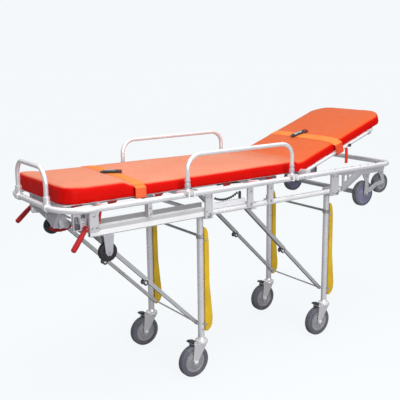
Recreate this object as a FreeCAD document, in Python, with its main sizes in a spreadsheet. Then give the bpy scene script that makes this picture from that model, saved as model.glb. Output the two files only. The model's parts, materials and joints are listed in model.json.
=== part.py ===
import FreeCAD, Part
import Sketcher
import os
import re

# Folding stretcher trolley, millimetres.  +X is the head end, +Z is up, the origin is on the floor
# under the middle of the frame.  The left side of a lying patient is -Y.

Vector = FreeCAD.Vector
SIDES = {"left": -1, "right": 1}
LEG_PAIRS = ("foot", "head")

DRIVING = {
    # upper frame loop
    "frame_length": 1900, "frame_width": 582, "frame_height": 875, "frame_tube": 25, "wall": 2,
    "foot_bend": 130, "head_bend": 50,
    # lower rail: box channel at the foot half, round bar at the head half
    "rail_spacing": 536, "rail_height": 774.5, "rail_tube": 25,
    "channel_start": -820, "channel_width": 22, "channel_height": 42, "channel_low": 762,
    "rail_end": 607,
    # legs
    "foot_hinge": -255, "head_hinge": 538, "hinge_height": 768, "leg_spacing": 438,
    "leg_tube": 30, "leg_low": 182, "hinge_pin": 12, "leg_bar_height": 660, "leg_bar_tube": 12,
    "guard_low": 206, "guard_high": 700, "guard_width": 22,
    # folding struts
    "strut_reach": 530, "strut_depth": 17, "strut_spacing": 372, "strut_pin": 10,
    # casters
    "wheel": 150, "wheel_width": 30, "caster_trail": 46, "crown_height": 154.5,
    # loading, guide and foot-end wheels
    "loading_wheel": 132, "loading_x": 758, "loading_height": 731, "loading_spacing": 524,
    "guide_wheel": 105, "guide_x": 887, "guide_height": 771,
    "small_wheel": 80, "small_x": -745, "small_height": 690, "small_spacing": 540,
    # pad and backrest
    "pad_start": -915, "pad_end": 293, "pad_width": 510, "pad_low": 893, "pad_thickness": 57,
    "backrest_x": 335, "backrest_height": 890, "backrest_angle": 19.5, "backrest_length": 641,
    "backrest_thickness": 46, "backrest_width": 500, "backrest_tube": 18, "backrest_spacing": 480,
    # side rails and foot handle
    "side_rail_low": -375, "side_rail_high": 216, "far_rail_low": -343, "far_rail_high": 262,
    "side_rail_top": 1045, "side_rail_tube": 19,
    "side_rail_spacing": 606, "side_rail_bend": 65, "side_rail_pivot": 644, "side_pivot_height": 884,
    "handle_spacing": 294, "handle_top": 1030,
    # release levers, leaning from upright
    "lever_length": 94, "near_lever_lean": 36, "far_lever_lean": 49,
    # gas spring under the deck
    "spring_x": 14, "spring_height": 835, "spring_angle": 2.14,
    # straps and buckles
    "strap_width": 50, "strap_thickness": 2, "strap_x": -575, "backrest_strap": 265,
    "buckle_turn": 58, "backrest_buckle_turn": 67,
    # running fit, on the radius
    "fit": 0.05,
}

doc = FreeCAD.newDocument("StretcherTrolley")
sizes = doc.addObject("Spreadsheet::Sheet", "Sizes")
for row, (alias, amount) in enumerate(DRIVING.items(), start=1):
    sizes.set(f"A{row}", alias)
    sizes.set(f"B{row}", str(amount))
    sizes.setAlias(f"B{row}", alias)
doc.recompute()

# Places that several pieces share, as expressions of the driving sizes
RAIL_Y = "rail_spacing/2"
FRAME_Y = "frame_width/2"
LEG_Y = "leg_spacing/2"
STRUT_Y = "strut_spacing/2"
LOADING_Y = "loading_spacing/2"
SMALL_Y = "small_spacing/2"
CHANNEL_IN = f"({RAIL_Y} - 12)"
CHANNEL_OUT = f"({CHANNEL_IN} + channel_width)"
CROSS_Z = "(frame_height + 2)"
STRUT_LENGTH = "(strut_reach*sqrt(2)/2)"

handed_in = []


# ---------------------------------------------------------------- expressions

def sized(text):
    """Point every driving name in an expression at its cell."""
    def cell(match):
        word = match.group()
        return f"Sizes.{word}" if word in DRIVING else word

    return re.sub(r"[a-z_]+", cell, str(text))


def number(text):
    """The present value of an expression."""
    return float(sizes.evalExpression(sized(text)))


def bind(item, **properties):
    """Bind properties of an object to expressions; two underscores stand for a dot."""
    for name, text in properties.items():
        item.setExpression(name.replace("__", "."), sized(text))
    return item


def place(item, x=0, y=0, z=0, axis=None, angle=0):
    """Bind an object's Placement, turned by an angle about an axis."""
    if axis:
        item.Placement = FreeCAD.Placement(Vector(), FreeCAD.Rotation(Vector(*axis), number(angle)))
        item.setExpression("Placement.Rotation.Angle", sized(angle))
    return bind(item, Placement__Base__x=x, Placement__Base__y=y, Placement__Base__z=z)


# ------------------------------------------------------------ Part primitives

ALONG = {"X": ((0, 1, 0), 90), "Y": ((1, 0, 0), -90), "Z": (None, 0)}


def rod(radius, length, start, along="Z"):
    item = doc.addObject("Part::Cylinder", "rod")
    bind(item, Radius=radius, Height=length)
    axis, angle = ALONG[along]
    if axis:
        item.Placement = FreeCAD.Placement(Vector(), FreeCAD.Rotation(Vector(*axis), angle))
    return place(item, *start)


def block(start, length, width, height):
    item = doc.addObject("Part::Box", "block")
    bind(item, Length=length, Width=width, Height=height)
    return place(item, *start)


def cone(low_radius, high_radius, height, start):
    item = doc.addObject("Part::Cone", "cone")
    bind(item, Radius1=low_radius, Radius2=high_radius, Height=height)
    return place(item, *start)


def ball(radius, centre):
    item = doc.addObject("Part::Sphere", "ball")
    bind(item, Radius=radius)
    return place(item, *centre)


def joined(*pieces):
    item = doc.addObject("Part::MultiFuse", "joined")
    item.Shapes = list(pieces)
    return item


def together(*pieces):
    item = doc.addObject("Part::Compound", "together")
    item.Links = list(pieces)
    return item


def cut(base, *tools):
    item = doc.addObject("Part::Cut", "cut")
    item.Base = base
    item.Tool = tools[0] if len(tools) == 1 else joined(*tools)
    return item


def pipe(radius, length, start, along="Z"):
    """A straight tube with open ends."""
    return cut(rod(radius, length, start, along), rod(f"{radius} - wall", length, start, along))


def outward(side, y, length):
    """Lowest y of a stretch that starts |y| from the centre plane and runs outwards by length."""
    return f"{y}" if side > 0 else f"-({y}) - ({length})"


def cross_rod(side, radius, x, y, z, length):
    """A rod across the trolley: it starts |y| from the centre plane and runs outwards."""
    return rod(radius, length, (x, outward(side, y, length), z), "Y")


def side_block(side, x, y, z, length, width, height):
    return block((x, outward(side, y, width), z), length, width, height)


def pin(side, radius, x, y, z, length, head):
    """A cross pin with a round head at its inner end."""
    head_length = 3
    return joined(
        cross_rod(side, radius, x, y, z, length),
        cross_rod(side, head, x, f"{y} - {head_length}", z, head_length),
    )


# --------------------------------------------------------- PartDesign helpers

def origin_plane(body, role):
    return next(item for item in body.Origin.OriginFeatures if item.Role == role)


def new_sketch(body, role):
    sketch = body.newObject("Sketcher::SketchObject", "outline")
    sketch.AttachmentSupport = [(origin_plane(body, role), "")]
    sketch.MapMode = "FlatFace"
    return sketch


def fix_point(sketch, geometry, end, point):
    for kind, text in zip(("DistanceX", "DistanceY"), point):
        place_of = sketch.addConstraint(Sketcher.Constraint(kind, -1, 1, geometry, end, number(text)))
        sketch.setExpression(f"Constraints[{place_of}]", sized(text))


def draw_polygon(sketch, points):
    """A closed outline whose corners are bound to expressions."""
    spots = [Vector(number(x), number(y), 0) for x, y in points]
    lines = [sketch.addGeometry(Part.LineSegment(a, b)) for a, b in zip(spots, spots[1:] + spots[:1])]
    for line, following in zip(lines, lines[1:] + lines[:1]):
        sketch.addConstraint(Sketcher.Constraint("Coincident", line, 2, following, 1))
    for line, point in zip(lines, points):
        fix_point(sketch, line, 1, point)


def draw_circle(sketch, centre, radius):
    x, y = centre
    circle = Part.Circle(Vector(number(x), number(y), 0), Vector(0, 0, 1), number(radius))
    circle = sketch.addGeometry(circle)
    fix_point(sketch, circle, 3, centre)
    size = sketch.addConstraint(Sketcher.Constraint("Radius", circle, number(radius)))
    sketch.setExpression(f"Constraints[{size}]", sized(radius))


def padded(role, polygons, circles, depth):
    """A plate: outlines in an origin plane, padded to both sides of it."""
    body = doc.addObject("PartDesign::Body", "plate")
    sketch = new_sketch(body, role)
    for points in polygons:
        draw_polygon(sketch, points)
    for centre, radius in circles:
        draw_circle(sketch, centre, radius)
    pad = body.newObject("PartDesign::Pad", "pad")
    pad.Profile = sketch
    pad.SideType = "Symmetric"
    bind(pad, Length=depth)
    return body


def turned(points):
    """A wheel or bush turned about Y from (radius, y) points."""
    body = doc.addObject("PartDesign::Body", "turned")
    sketch = new_sketch(body, "XY_Plane")
    draw_polygon(sketch, points)
    spin = body.newObject("PartDesign::Revolution", "spin")
    spin.Profile = sketch
    spin.ReferenceAxis = (sketch, ["V_Axis"])
    spin.Angle = 360
    return body


def rounded(body, radius, wanted):
    """Fillet the edges of a body that wanted() picks."""
    doc.recompute()
    tip = body.Tip
    names = [f"Edge{n}" for n, edge in enumerate(tip.Shape.Edges, start=1) if wanted(edge)]
    fillet = body.newObject("PartDesign::Fillet", "rounding")
    fillet.Base = (tip, names)
    bind(fillet, Radius=radius)
    return body


def link(length, half_width, depth, holes=()):
    """A flat bar in the XZ plane with round ends, from the origin along +X."""
    bar = padded("XZ_Plane", [[(0, f"-{half_width}"), (length, f"-{half_width}"), (length, half_width),
                               (0, half_width)]], [], depth)
    ends = [rod(half_width, depth, (x, f"-({depth})/2", 0), "Y") for x in (0, length)]
    bar = joined(bar, *ends)
    if holes:
        bar = cut(bar, *[rod(radius, depth, (x, f"-({depth})/2", 0), "Y") for x, radius in holes])
    return bar


# ------------------------------------------------------------------ bent tubes

def corner_path(corners, bends, closed=False):
    """A wire through right-angled corners, with an arc of the given radius at each bend."""
    stops = []
    for n, (corner, radius) in enumerate(zip(corners, bends)):
        if radius == 0:
            stops.append((corner, corner, corner))
            continue
        back = (corners[n - 1] - corner).normalize()
        ahead = (corners[(n + 1) % len(corners)] - corner).normalize()
        middle = corner + (back + ahead) * radius * (1 - 0.5 ** 0.5)
        stops.append((corner + back * radius, middle, corner + ahead * radius))
    edges = []
    for n, (start, middle, end) in enumerate(stops):
        if start != end:
            edges.append(Part.Arc(start, middle, end).toShape())
        if closed or n < len(stops) - 1:
            edges.append(Part.LineSegment(end, stops[(n + 1) % len(stops)][0]).toShape())
    return Part.Wire(edges)


def swept(path, radius):
    first = path.Edges[0]
    where = first.valueAt(first.FirstParameter)
    along = first.tangentAt(first.FirstParameter)
    return path.makePipe(Part.Face(Part.Wire([Part.makeCircle(radius, where, along)])))


def bent_tube(corners, bends, outer, hollow=True, closed=False):
    """A tube along a path of square corners; its sizes come from the sheet."""
    points = [Vector(*map(number, corner)) for corner in corners]
    path = corner_path(points, list(map(number, bends)), closed)
    shape = swept(path, number(outer) / 2)
    if hollow:
        shape = shape.cut(swept(path, number(outer) / 2 - number("wall")))
    item = doc.addObject("Part::Feature", "bent_tube")
    item.Shape = shape
    return item


# ---------------------------------------------------------------- finished node

def hand_in(name, item):
    item.Label = name
    handed_in.append(item)
    return item


# ================================================================ frame

def upper_loop(hollow):
    """Closed loop of round tube with wide bends at the foot end."""
    far = "(frame_length - frame_tube)/2"
    near = f"-{far}"
    corners = [(near, f"-{FRAME_Y}", "frame_height"), (far, f"-{FRAME_Y}", "frame_height"),
               (far, FRAME_Y, "frame_height"), (near, FRAME_Y, "frame_height")]
    bends = ["foot_bend", "head_bend", "head_bend", "foot_bend"]
    return bent_tube(corners, bends, "frame_tube", hollow, closed=True)


def upper_frame():
    """The upper loop, with a drain hole under each side."""
    drains = [cross_rod(side, 3, 300, FRAME_Y, "frame_height", "frame_tube") for side in SIDES.values()]
    return cut(upper_loop(hollow=True), *drains)


def side_channels():
    """Extruded box channel with a set-back lip, one on each side of the foot half."""
    top = "(channel_low + channel_height)"
    lip_height, lip, web = 21, 6, 3
    channels = []
    for side in SIDES.values():
        def across(offset):
            return f"{side}*({CHANNEL_IN} + {offset})"
        outer = [(across(0), "channel_low"), (across("channel_width"), "channel_low"),
                 (across("channel_width"), top), (across(lip), top),
                 (across(lip), f"{top} + {lip_height}"), (across(0), f"{top} + {lip_height}")]
        hollow = [(across(web), f"channel_low + {web}"),
                  (across(f"channel_width - {web}"), f"channel_low + {web}"),
                  (across(f"channel_width - {web}"), f"{top} - {web}"), (across(web), f"{top} - {web}")]
        reach = "(foot_hinge - 20 - channel_start)"
        channels.append(place(padded("YZ_Plane", [outer, hollow], [], reach), f"channel_start + {reach}/2"))
    return together(*channels)


def rail_bars():
    start = "(foot_hinge - 19)"
    bars = []
    for side in SIDES.values():
        foot_end = (start, f"{side}*{RAIL_Y}", "rail_height")
        bars.append(pipe("rail_tube/2", f"rail_end - {start}", foot_end, "X"))
    return together(*bars)


def tube_spaces(side):
    """The room that the upper tube and the rail bar take through a bracket."""
    upper = upper_loop(hollow=False)
    bar = rod("rail_tube/2", "frame_length", ("foot_hinge - 20", f"{side}*{RAIL_Y}", "rail_height"), "X")
    return joined(upper, bar)


def frame_brackets():
    """Castings and posts that join the upper tube to the lower rail and carry the hinge pins."""
    pieces = []
    channel_top = "(channel_low + channel_height)"
    for side in SIDES.values():
        spaces = tube_spaces(side)
        # foot-end plate over the channel's outer face, and the lock housing behind it, longer on the left
        pieces.append(cut(side_block(side, -827, CHANNEL_OUT, 784, 39, 14, "frame_height - 784"), spaces))
        housing = side_block(side, -848, f"{CHANNEL_IN} - 31", 778, 44, 31, 78)
        if side < 0:
            housing = joined(housing, side_block(side, -880, f"{CHANNEL_IN} - 15", 790, 40, 15, 66))
        lever_bore = cross_rod(side, "3 + fit", -833, f"{CHANNEL_IN} - 31", 798, 31)
        pieces.append(cut(housing, lever_bore))
        # thin post from the channel to the upper tube
        pieces.append(cut(side_block(side, -563, f"{CHANNEL_OUT} - 15", channel_top, 20, 28,
                                     f"frame_height - {channel_top}"), spaces))
        # leg hinge castings: a block round the pin and the rail, and a plate up to the upper tube
        for pair, low, width in (("foot", -19, 38), ("head", -41, 52)):
            hinge = f"{pair}_hinge"
            casting = side_block(side, f"{hinge} + {low}", f"{LEG_Y} + 18", "hinge_height - 14",
                                 width, 54, 38)
            plate = side_block(side, f"{hinge} + {low}", f"{FRAME_Y} - 10", "hinge_height", width, 10,
                               "frame_height - hinge_height")
            bore = cross_rod(side, "hinge_pin/2 + fit", hinge, f"{LEG_Y} + 18", "hinge_height", 15.5)
            pieces.append(cut(joined(casting, plate), spaces, bore))
        # plain posts on the rail bar
        for low in (-38, 84):
            foot = side_block(side, low, f"{RAIL_Y} - 12", "rail_height", 31, 35, 18)
            plate = side_block(side, low, f"{FRAME_Y} - 10", "rail_height",
                               31, 10, "frame_height - rail_height")
            pieces.append(cut(joined(foot, plate), spaces))
        # strut brackets
        foot_strut = side_block(side, "foot_hinge - strut_reach - 14", f"{CHANNEL_IN} - 12", "channel_low",
                                28, 12, "channel_height - 4")
        head_strut = side_block(side, "head_hinge - strut_reach - 14", f"{RAIL_Y} - 28", "rail_height - 19",
                                28, 38, 33)
        for casting, pair in ((foot_strut, "foot"), (head_strut, "head")):
            bore = cross_rod(side, "strut_pin/2 + fit", f"{pair}_hinge - strut_reach", f"{RAIL_Y} - 28",
                             "hinge_height", 14)
            pieces.append(cut(casting, spaces, bore))
        # backrest hinge blocks on the upper tube
        hinge_block = side_block(side, "backrest_x - 13", f"{FRAME_Y} - 38", "backrest_height - 12",
                                 26, 40, 24)
        bore = cross_rod(side, "5 + fit", "backrest_x", f"{FRAME_Y} - 38", "backrest_height", 20)
        pieces.append(cut(hinge_block, spaces, bore))
    return together(*pieces)


def cross_tubes():
    """Deck bearers between the upper tubes, and a lower tie between the channels."""
    half = f"({FRAME_Y} - frame_tube/2)"
    tubes = [pipe(11, f"2*{half}", (x, f"-{half}", CROSS_Z), "Y") for x in (-760, -380, "spring_x")]
    low_tie = pipe(9, f"2*{CHANNEL_IN}", (-328, f"-{CHANNEL_IN}", 802), "Y")
    lug = cut(block(("spring_x - 9", -3, "spring_height - 12"), 18, 6, f"{CROSS_Z} - spring_height + 12"),
              rod("3 + fit", 6, ("spring_x", -3, "spring_height"), "Y"),
              rod(11, 6, ("spring_x", -3, CROSS_Z), "Y"))
    return together(*tubes, low_tie, lug)


def head_plates():
    """Cut-out side plates under the upper tube at the head end."""
    outline = [(549, 868), (549, 854), (571, 854), (571, 774), (600, 774), (600, 786), (645, 811),
               (700, 838), (881, 838), (888, 868)]
    windows = [[(587, 811), (587, 848), (610, 848), (607, 822)],
               [(621, 830), (621, 848), (642, 848), (640, 840)]]
    plates = []
    for side in SIDES.values():
        plate = place(padded("XZ_Plane", [outline, *windows], [], 5), y=f"{side}*{FRAME_Y}")
        plates.append(cut(plate, tube_spaces(side)))
    return together(*plates)


def diagonal_braces():
    """Flat bars rising from the end of each rail bar along the head plate."""
    braces = []
    for side in SIDES.values():
        bar = place(link(128, 7, 5), "rail_end - 14", f"{side}*({RAIL_Y} + 18)", "rail_height + 2",
                    (0, 1, 0), -28)
        braces.append(bar)
    return together(*braces)


def loading_wheel_arms():
    """Side plates that carry the loading axle and the guide wheels, with a curved tie between them."""
    plates = []
    upright = [(724, 840), (782, 840), (774, 812), (772, 731), (746, 731), (750, 800)]
    tie = [(766, 736), (802, 740), (838, 764), (868, 766), (887, 760), (893, 784), (862, 788), (828, 781),
           (792, 764), (770, 762)]
    guide_upright = [(842, 840), (886, 840), (898, "guide_height"), (876, "guide_height"), (866, 812)]
    for side in SIDES.values():
        outline = joined(padded("XZ_Plane", [tie], [], 6), padded("XZ_Plane", [upright], [], 6),
                         padded("XZ_Plane", [guide_upright], [], 6),
                         rod(13, 6, ("loading_x", -3, "loading_height"), "Y"),
                         rod(12, 6, ("guide_x", -3, "guide_height"), "Y"))
        bores = [rod("8 + fit", 6, ("loading_x", -3, "loading_height"), "Y"),
                 rod("6 + fit", 6, ("guide_x", -3, "guide_height"), "Y")]
        plates.append(place(cut(outline, *bores), y=f"{side}*({FRAME_Y} - 5.5)"))
    return together(*plates)


def loading_axle():
    """Cross tube with turned-down ends for the loading wheels, and the guide wheel studs."""
    inner = f"({LOADING_Y} - 20)"
    outer = f"({FRAME_Y} + 3)"
    axle = joined(rod(12.5, f"2*{inner}", ("loading_x", f"-{inner}", "loading_height"), "Y"),
                  rod(8, f"2*{outer}", ("loading_x", f"-{outer}", "loading_height"), "Y"))
    studs = [pin(side, 6, "guide_x", f"{LOADING_Y} - 18", "guide_height", 45, 9) for side in SIDES.values()]
    return together(axle, *studs)


def small_wheel_forks():
    forks = []
    for side in SIDES.values():
        cheeks = []
        for offset in (-18.5, 15.5):
            plate = padded("XZ_Plane", [[(-23, 72), (23, 72), (16, 0), (8, -13), (-8, -13), (-16, 0)]],
                           [((0, 0), "4 + fit")], 3)
            cheeks.append(place(plate, y=f"{offset} + 1.5"))
        crown = block((-23, -18.5, 68), 46, 37, 4)
        forks.append(place(joined(*cheeks, crown), "small_x", f"{side}*{SMALL_Y}", "small_height"))
    return together(*forks)


def rail_posts(side):
    """Where the posts of a side's rail stand along the frame."""
    return ("side_rail_low", "side_rail_high") if side < 0 else ("far_rail_low", "far_rail_high")


def side_rail_bases():
    """Twin cheeks on the outside of the upper tube at each side rail post, with the pivot bore."""
    cheeks = []
    for side in SIDES.values():
        spaces = tube_spaces(side)
        for post in rail_posts(side):
            for low in (-17, 9.6):
                cheek = side_block(side, f"{post} + {low}", f"{FRAME_Y} + 2", "side_pivot_height - 13",
                                   7.4, 41, 28)
                bore = rod("3.5 + fit", 7.4, (f"{post} + {low}", f"{side}*side_rail_pivot/2",
                                              "side_pivot_height"), "X")
                cheeks.append(cut(cheek, spaces, bore))
    return together(*cheeks)


def frame_pins():
    """Every fixed pin of the frame, each with a head."""
    pins = []
    for side in SIDES.values():
        for pair in LEG_PAIRS:
            pins.append(pin(side, "hinge_pin/2", f"{pair}_hinge", f"{LEG_Y} - 18", "hinge_height", 51, 10))
            pins.append(pin(side, "strut_pin/2", f"{pair}_hinge - strut_reach", f"{STRUT_Y} - 12",
                            "hinge_height", 78, 8))
        pins.append(pin(side, 5, "backrest_x", "backrest_spacing/2 - 12", "backrest_height", 44, 8))
        pins.append(pin(side, 4, "small_x", f"{SMALL_Y} - 18.5", "small_height", 40, 7))
        pins.append(pin(side, 3, -833, f"{CHANNEL_IN} - 31", 798, 54, 6))
        pins.append(cross_rod(side, 2.5, -776, f"{CHANNEL_IN} + 6", 815, 11))
        for post in rail_posts(side):
            start = (f"{post} - 18", f"{side}*side_rail_pivot/2", "side_pivot_height")
            pins.append(rod(3.5, 36, start, "X"))
    pins.append(rod(3, 16, ("spring_x", -8, "spring_height"), "Y"))
    return together(*pins)


# ================================================================ legs

def leg_tubes(pair):
    hinge = f"{pair}_hinge"
    legs = []
    for side in SIDES.values():
        y = f"{side}*{LEG_Y}"
        top = "hinge_height + 14"
        tube = rod("leg_tube/2", f"{top} - leg_low", (hinge, y, "leg_low"))
        boss = cross_rod(side, 16, hinge, f"{LEG_Y} - 16", "hinge_height", 32)
        stub = cross_rod(side, 5, hinge, f"{LEG_Y} - 27", "hinge_height - strut_reach", 14)
        bore = rod("leg_tube/2 - wall", "hinge_height - leg_low - 80", (hinge, y, "leg_low + 60"))
        socket = rod("6 + fit", 70, (hinge, y, "leg_low"))
        hinge_bore = cross_rod(side, "hinge_pin/2 + fit", hinge, f"{LEG_Y} - 17", "hinge_height", 34)
        legs.append(cut(joined(tube, boss, stub), bore, socket, hinge_bore))
    return together(*legs)


def leg_crossbar(pair):
    """Tube between the two legs of a pair, with a clamp ring round each leg."""
    hinge = f"{pair}_hinge"
    bar = rod("leg_bar_tube/2", "leg_spacing", (hinge, f"-{LEG_Y}", "leg_bar_height"), "Y")
    feet = [(hinge, f"{side}*{LEG_Y}", "leg_bar_height - 9") for side in SIDES.values()]
    rings = [rod("leg_tube/2 + 3.5", 18, foot) for foot in feet]
    holes = [rod("leg_tube/2", 18, foot) for foot in feet]
    flats = [block((f"{hinge} + leg_tube/2 + 1.3", f"{side}*{LEG_Y} - 20", "leg_bar_height - 9"), 8, 40, 18)
             for side in SIDES.values()]
    return cut(joined(bar, *rings), *holes, *flats)


def leg_guards(pair):
    """Tapered sliding guards on the head side of each leg."""
    low, high = "guard_low", "guard_high"
    outline = [(16.5, f"{low} + 10"), (22, low), (32, f"{low} + 1"), (46, f"{low} + 12"), (56, f"{low} + 30"),
               (58, f"{low} + 62"), (42, f"{low} + 230"), (40, f"{high} - 70"), (35, f"{high} - 24"),
               (26, f"{high} - 4"), (16.5, high)]
    guards = [padded("XZ_Plane", [outline], [], "guard_width") for side in SIDES]
    return together(*[place(guard, f"{pair}_hinge", f"{side}*{LEG_Y}")
                      for guard, side in zip(guards, SIDES.values())])


# ================================================================ struts

def strut_upper(pair):
    """Two flat bars on each side, hinged on the frame, with the knee pin at their lower end."""
    pieces = []
    for side in SIDES.values():
        for offset in (-8, 8):
            holes = [(0, "strut_pin/2 + fit"), (STRUT_LENGTH, "strut_pin/2")]
            bar = link(STRUT_LENGTH, "strut_depth/2", 4, holes)
            pieces.append(place(bar, f"{pair}_hinge - strut_reach", f"{side}*({STRUT_Y} + {offset})",
                                "hinge_height", (0, 1, 0), 45))
        pieces.append(cross_rod(side, "strut_pin/2", f"{pair}_hinge - strut_reach/2", f"{STRUT_Y} - 13",
                                "hinge_height - strut_reach/2", 26))
    return together(*pieces)


def strut_lower(pair):
    """One bar on each side from the knee to the leg, joined by a thin tie rod."""
    pieces = []
    for side in SIDES.values():
        bar = link(STRUT_LENGTH, "strut_depth/2 - 1", 11, [(0, "strut_pin/2 + fit")])
        pieces.append(place(bar, f"{pair}_hinge - strut_reach/2", f"{side}*{STRUT_Y}",
                            "hinge_height - strut_reach/2", (0, 1, 0), 45))
    tie = rod(4, "strut_spacing", (f"{pair}_hinge", f"-{STRUT_Y}", "hinge_height - strut_reach"), "Y")
    return joined(*pieces, tie)


# ================================================================ casters

def caster_fork(pair, side):
    """Swivel fork with its stem, crown, two cheeks, pedal ears and axle; the swivel axis is the origin."""
    back = "-caster_trail"
    cheek = [(20, "crown_height + 4"), (f"{back} - 6", "crown_height + 4"), (f"{back} - 15", "wheel/2 + 6"),
             (f"{back} - 13", "wheel/2 - 9"), (back, "wheel/2 - 15"), (f"{back} + 13", "wheel/2 - 9"),
             (f"{back} + 16", "wheel/2 + 6")]
    cheeks = []
    for s in (-1, 1):
        blank = padded("XZ_Plane", [cheek], [((back, "wheel/2"), "5 + fit")], 3)
        cheeks.append(place(blank, y=f"{s}*(wheel_width/2 + 6)"))
    crown = block((f"{back} - 6", "-wheel_width/2 - 7.5", "crown_height"), "caster_trail + 26",
                  "wheel_width + 15", 4)
    race = rod(23, 10, (0, 0, "crown_height + 4"))
    neck = cone(20, 13, "leg_low - crown_height - 16", (0, 0, "crown_height + 14"))
    stem = rod(6, 72, (0, 0, "leg_low - 8"))
    ears = [block((f"{back} - 6", y, "crown_height + 4"), 14, 3, 14) for y in (-19, 16)]
    fork = cut(joined(*cheeks, crown, race, neck, stem, *ears),
               rod("2.5 + fit", 60, (f"{back} + 1", -30, "crown_height + 12"), "Y"))
    heads = [rod(8, 3, (back, y, "wheel/2"), "Y") for y in ("wheel_width/2 + 7.5", "-wheel_width/2 - 10.5")]
    axle = joined(rod(5, "wheel_width + 18", (back, "-wheel_width/2 - 9", "wheel/2"), "Y"), *heads)
    pedal_pin = rod(2.5, 38, (f"{back} + 1", -19, "crown_height + 12"), "Y")
    return place(together(fork, axle, pedal_pin), f"{pair}_hinge", f"{side}*{LEG_Y}")


def caster_wheel(pair, side):
    """Tyre, rim, web and hub in one turned piece with a running bore on the axle."""
    radius, half = "wheel/2", "wheel_width/2"
    points = [("5 + fit", f"-{half} - 3"), (13, f"-{half} - 3"), (16, -9), (44, -9), (48, f"-{half}"),
              (f"{radius} - 8", f"-{half}"), (f"{radius} - 2", f"-{half} + 4"), (radius, f"-{half} + 9"),
              (radius, f"{half} - 9"), (f"{radius} - 2", f"{half} - 4"), (f"{radius} - 8", half), (48, half),
              (44, 9), (16, 9), (13, f"{half} + 3"), ("5 + fit", f"{half} + 3")]
    return place(turned(points), f"{pair}_hinge - caster_trail", f"{side}*{LEG_Y}", radius)


def brake_pedal(pair, side):
    """Rocking pedal behind the crown, between its two ears."""
    side_view = [(5, -4), (6, 5), (-8, 9), (-20, 11), (-29, 8), (-29, 4), (-19, 5), (-10, -2), (0, -5)]
    plate = padded("XZ_Plane", [side_view], [((0, 0), "2.5 + fit")], 30)
    return place(plate, f"{pair}_hinge - caster_trail + 1", f"{side}*{LEG_Y}", "crown_height + 12")


# ================================================================ other wheels

def plain_wheel(radius, half, bore, x, y, z):
    """A turned wheel with a rounded tread and a hub standing proud of the web."""
    points = [(f"{bore} + fit", f"-{half}"), (f"{bore} + 9", f"-{half}"), (f"{bore} + 11", f"-{half} + 4"),
              (f"{radius} - 17", f"-{half} + 4"), (f"{radius} - 14", f"-{half} + 1"),
              (f"{radius} - 6", f"-{half} + 1"),
              (radius, f"-{half} + 7"), (radius, f"{half} - 7"), (f"{radius} - 6", f"{half} - 1"),
              (f"{radius} - 14", f"{half} - 1"), (f"{radius} - 17", f"{half} - 4"),
              (f"{bore} + 11", f"{half} - 4"),
              (f"{bore} + 9", half), (f"{bore} + fit", half)]
    return place(turned(points), x, y, z)


# ================================================================ pads and backrest

def main_pad():
    outline = [("pad_start", "-pad_width/2"), ("pad_end", "-pad_width/2"),
               ("pad_end", "pad_width/2"), ("pad_start", "pad_width/2")]
    body = padded("XY_Plane", [outline], [], "pad_thickness")
    foot = number("pad_start")
    rounded(body, 62, lambda edge: len(edge.Vertexes) == 2 and all(
        abs(v.X - foot) < 1 for v in edge.Vertexes) and abs(edge.Vertexes[0].Z - edge.Vertexes[1].Z) > 1)
    return place(body, z="pad_low + pad_thickness/2")


def main_deck():
    """Tray under the pad, resting on the deck bearers, with turned-down edges."""
    length = "(pad_end - 3 + 905)"
    tray = block((-905, -235, f"{CROSS_Z} + 11"), length, 470, 4)
    return tray


def on_backrest(item, along, y, above):
    """Place a piece given along and above the reclined backrest, from its hinge."""
    angle = "backrest_angle"
    item.Placement = FreeCAD.Placement(Vector(), FreeCAD.Rotation(Vector(0, 1, 0), -number(angle)))
    item.setExpression("Placement.Rotation.Angle", sized(f"-{angle}"))
    turn = f"({angle})"
    return bind(
        item,
        Placement__Base__x=f"backrest_x + ({along})*cos({turn}*1deg) - ({above})*sin({turn}*1deg)",
        Placement__Base__y=y,
        Placement__Base__z=f"backrest_height + ({along})*sin({turn}*1deg) + ({above})*cos({turn}*1deg)",
    )


def backrest_pad():
    half = "backrest_width/2"
    start = 16
    end = f"({start} + backrest_length)"
    corners = [(start, f"-{half}"), (f"{end} - 82", f"-{half}"), (f"{end} - 24", f"50 - {half}"), (end, -60),
               (end, 60), (f"{end} - 24", f"{half} - 50"), (f"{end} - 82", half), (start, half)]
    body = padded("XY_Plane", [corners], [], "backrest_thickness")
    middle = number(start + 10)
    rounded(body, 30, lambda edge: len(edge.Vertexes) == 2 and all(
        v.X > middle for v in edge.Vertexes) and abs(edge.Vertexes[0].Z - edge.Vertexes[1].Z) > 1)
    return on_backrest(body, 0, 0, "backrest_thickness/2 - 1")


def backrest_frame():
    """U of tube under the backrest with hinge knuckles, cross bars and the gas spring lever."""
    half = "backrest_spacing/2"
    below, tip = -13, 560
    corners = [(0, f"-{half}", below), (tip, f"-{half}", below), (tip, half, below), (0, half, below)]
    tube = bent_tube(corners,
                     [0, 60, 60, 0], "backrest_tube")
    knuckles = [rod(13, 18, (0, f"{side}*{half} - 9", 0), "Y") for side in SIDES.values()]
    bars = [rod(7, "backrest_spacing", (x, f"-{half}", below), "Y") for x in (24, 230, 420)]
    lever = place(padded("XZ_Plane", [[(14, -8), (34, -8), (30, -84), (20, -90), (10, -84)]], [], 6), y=10)
    lever = cut(lever, rod(7, 20, (24, 0, below), "Y"))
    bores = [rod("5 + fit", 20, (0, f"{side}*{half} - 10", 0), "Y") for side in SIDES.values()]
    return on_backrest(together(cut(joined(tube, *knuckles, *bars), *bores), lever), 0, 0, 0)


def backrest_deck():
    deck = block((10, -225, -4), 575, 450, 3)
    return on_backrest(together(deck), 0, 0, 0)


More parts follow.
